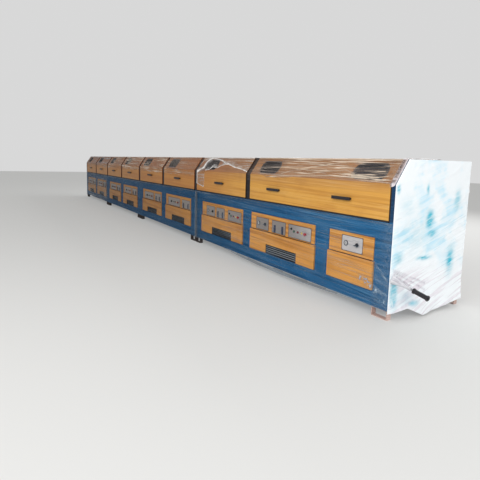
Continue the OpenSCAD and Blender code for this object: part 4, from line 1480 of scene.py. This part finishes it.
def makeFrontFilm(number, settings):
    low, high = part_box(f"base_frame_{number}")
    first = number == 1
    start, end = low.x + settings["jointGap"], (nearX if first else high.x - settings["jointGap"])
    width = end - start
    covered = [spot for spot in controls if start - 0.1 < spot.x < end + 0.1]
    seamWhite, hemWhite = (settings[label][0 if first else 1] for label in ("seamWhite", "hemWhite"))
    sagFrom, sagLong = settings["sagSpan"]

    def tentAt(x, z):
        tent = 0.0
        for spot in covered:
            reach = frontY - spot.y + 0.002 - settings["stand"]
            if abs(x - spot.x) < settings["tentReach"] and abs(z - spot.z) < settings["tentReach"]:
                away = math.hypot(x - spot.x, z - spot.z) - settings["tentTop"]
                tent = max(tent, reach * math.exp(-max(0.0, away) / settings["tentRadius"]))
        return tent

    def place(u, v):
        x = start + width * u
        back = nearX - x  # distance from the near end
        sag = settings["sag"] * math.sin(math.pi * clamped((back - sagFrom) / sagLong)) if first else 0.0
        bottom = frameLowZ + settings["footGap"] - sag + settings["footWave"] * noiseAt(x * 3, 0.3, 7.7)
        top = tableZ - settings["topGap"]
        z = bottom + (top - bottom) * v
        crease, crinkle = 0.11 * spindle(x * 0.8, z * 26 + x * 1.5, number * 2.2, 0.2, 0.6), 0.0
        dark = 0.0
        if first:
            crease, crinkle = nearCornerMarks(x, z, back, crease, settings)
            # painted shade in the joint with the next section
            dark = 0.95 * bell(x, start + 0.06, 0.045)
        seam = bell(x, start, 0.032) * (0.35 + 1.1 * noiseAt(1, z * 17, number)) * seamWhite
        hem = bell(z, bottom, 0.010) * hemWhite
        # painted shadow: the film that hangs below the frame is dark, as in the shade under the machine
        if z < frameLowZ - 0.004:
            dark = max(dark, 0.78)
        # painted shadow: a dark band under the guards' lower edge
        dark = max(dark, 0.9 * bell(z, top, 0.012))
        lift = settings["stand"] + tentAt(x, z) + settings["wrinkle"] * crease
        return Vector((x, frontY - lift, z)), max(crease, seam, hem), crinkle, dark

    step = settings["step"] if first else settings["farStep"]
    film = "milkyFilm" if number == sectionCount else "frontFilm" if first else "farFrontFilm"
    makeSheet(f"frontFilm{number}", width, tableZ - frameLowZ, step, place, film, "housing")


for n in range(1, sectionCount + 1):
    makeFrontFilm(n, frontFilmSettings)
print("stage: front film")

endFilmSettings = {
    "stand": 0.006,
    "wrinkle": 0.010,
    "skirt": 0.09,  # how far its foot stands out
    "skirtZ": 0.34,
    "farSkirt": 0.3,  # share of it at the far end
    "lap": 0.007,  # how far it goes round the front corner
    "step": 0.015,
    # lower edge: in from the front, and height
    "edge": [(0.0, 0.075), (0.14, 0.095), (0.25, 0.11), (0.45, 0.02), (0.75, 0.03), (1.2, 0.08)],
    "farEdge": 0.06,
    # the fan of pulled folds behind the lever: height of its edges at the front, and their fall to the rear
    "fanUpper": (0.545, 0.40),
    "fanLower": (0.475, 0.61),
    "fanSpan": (0.02, 0.55),
    "flap": (0.26, 0.19),  # thicker film under the lever: in from the front, and height
    # patches where the blue panel shows through the film, painted a bright cyan as if strongly lit: in from
    # the front, height, half width, half height, strength
    "bluePatches": [(0.55, 1.01, 0.06, 0.09, 1.0), (0.60, 0.86, 0.07, 0.04, 0.7), (0.03, 1.33, 0.022, 0.04, 0.9),
               (0.055, 0.29, 0.05, 0.13, 1.1), (0.22, 0.22, 0.12, 0.07, 0.25), (0.35, 0.15, 0.07, 0.025, 0.8),
               (0.48, 1.32, 0.02, 0.05, 0.8), (0.50, 0.61, 0.10, 0.02, 0.9), (0.10, 0.64, 0.07, 0.05, 0.6),
               (0.33, 0.85, 0.22, 0.18, 0.22), (0.20, 1.15, 0.12, 0.10, 0.2), (0.95, 0.55, 0.06, 0.14, 0.8),
               (1.0, 1.2, 0.05, 0.1, 0.6)],
    "bluePatchStrength": 1.35,
}


def bluePatchAt(y, z, settings):
    tint = 0.0
    for spotY, spotZ, wide, tall, strength in settings["bluePatches"]:
        share = math.exp(-((y - spotY) / wide) ** 2 - ((z - spotZ) / tall) ** 2)
        tint = max(tint, settings["bluePatchStrength"] * strength * share)
    return tint


def makeEndFilm(name, endX, side, seed, settings):
    depth = rearY - frontY
    near = side > 0

    def place(u, v):
        lowest = heightOn(settings["edge"], depth * u) if near else settings["farEdge"]
        z = lowest + (topZ - lowest) * v
        frontIn = max(0.0, (z - eaveZ) / (topZ - eaveZ) * ridgeIn)
        y = frontIn + (depth - frontIn) * u
        small = ridged(y * 7, z * 7, 8.8 + seed, 4.0)
        pulled = ridged(y * 1.2 + z, (z - 0.33 * y) * 9, 2.2 + seed, 3.0)
        upper, lower = (height - fall * y for height, fall in (settings["fanUpper"], settings["fanLower"]))
        across = (z - lower) / (upper - lower)
        first, last = settings["fanSpan"]
        folded = clamped(min(across, 1.15 - across) * 6) * (first < y < last)
        pleat = folded * ridged(across * 3.4, y * 0.8, 7.7, 2.0)
        flapY, flapZ = settings["flap"]
        flap = 0.3 * bell(y, flapY, 0.18) * bell(z, flapZ, 0.08)
        inside = min(1.0, u / 0.03) * min(1.0, (1 - v) / 0.03)
        foot = max(0.0, (settings["skirtZ"] - z) / settings["skirtZ"]) ** 2
        flare = settings["skirt"] * foot * (0.35 + 0.65 * math.sin(math.pi * min(1.0, u * 1.6)) ** 2)
        flare *= min(1.0, u / 0.05) if near else settings["farSkirt"]
        rim = bell(y - frontIn, 0.0, 0.014)
        crinkle = 0.5 * bell(z, topZ - 0.12, 0.10) + 0.4 * bell(z, 0.16, 0.12)
        crinkle += 0.5 * bell(y - frontIn, 0.0, 0.05)
        # partly painted highlights: the rim and the pulled creases whiten the film
        crease = 0.5 * max(small * 0.5, pulled) * (1 - folded)
        tint = bluePatchAt(y, z, settings) * (1 - folded)
        grey = max(pleat, flap) if near else 0.0
        lift = settings["stand"] + settings["wrinkle"] * (crease * inside + 1.6 * pleat) + flare
        wrap = settings["lap"] * bell(u, 0.0, 0.01)
        spot = Vector((endX + side * (lift - wrap * 0.8), frontY + y - wrap, z))
        return spot, max(rim, crease), crinkle, tint, grey

    makeSheet(name, depth, topZ - 0.05, settings["step"], place, "endFilm", "housing")


makeEndFilm("nearEndFilm", nearX, 1, 0.0, endFilmSettings)
makeEndFilm("farEndFilm", farX, -1, 5.0, endFilmSettings)

rodFilmSettings = {
    "root": 0.010,  # where the sleeve starts, out from the end face
    "lift": 0.002,  # its axis there, above the foot of the rod
    "droop": 11,  # degrees
    "length": 0.225,
    "share": 0.93,  # part of the rod that the film covers
    "out": 0.003,
    "funnel": 2.4,  # how much wider it is at the end panel, by the rod's radius
    "round": 2.06,  # half turns of film round the rod
    "wrinkle": 0.003,
    "step": 0.005,
    "crinkle": 0.1,
}


def makeRodFilm(settings):
    low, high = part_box("end_lever")
    radius = (high.y - low.y) / 4  # the boss is twice as thick as the rod
    droop = math.radians(settings["droop"])
    foot = Vector((nearX + settings["root"], (low.y + high.y) / 2, high.z - 2 * radius + settings["lift"]))
    along = Vector((math.cos(droop), 0, -math.sin(droop)))
    above = Vector((math.sin(droop), 0, math.cos(droop)))
    length = settings["length"] * settings["share"]

    def place(u, v):
        turn = (v - 0.5) * math.pi * settings["round"]
        wave = settings["wrinkle"] * noiseAt(u * 2.5, math.sin(turn) * 2, math.cos(turn) * 2)
        funnel = radius * settings["funnel"] * (1 - u) ** 2.6
        reach = radius + settings["out"] + funnel + wave * (1 + 3 * (1 - u) ** 2)
        # partly painted highlights: the creases whiten the sleeve
        crease = 0.6 * ridged(math.sin(turn) * 3, math.cos(turn) * 3, u * 0.8, 3.0)
        side = Vector((0, math.sin(turn), 0)) + above * math.cos(turn)
        return foot + along * length * u + side * reach, crease, settings["crinkle"]

    girth = 2 * math.pi * radius
    makeSheet("rodFilm", length, girth, settings["step"], place, "rodFilm", "housing")


makeRodFilm(rodFilmSettings)
print("stage: end film")

scene.view_settings.view_transform = "Standard"
print("stage: done")
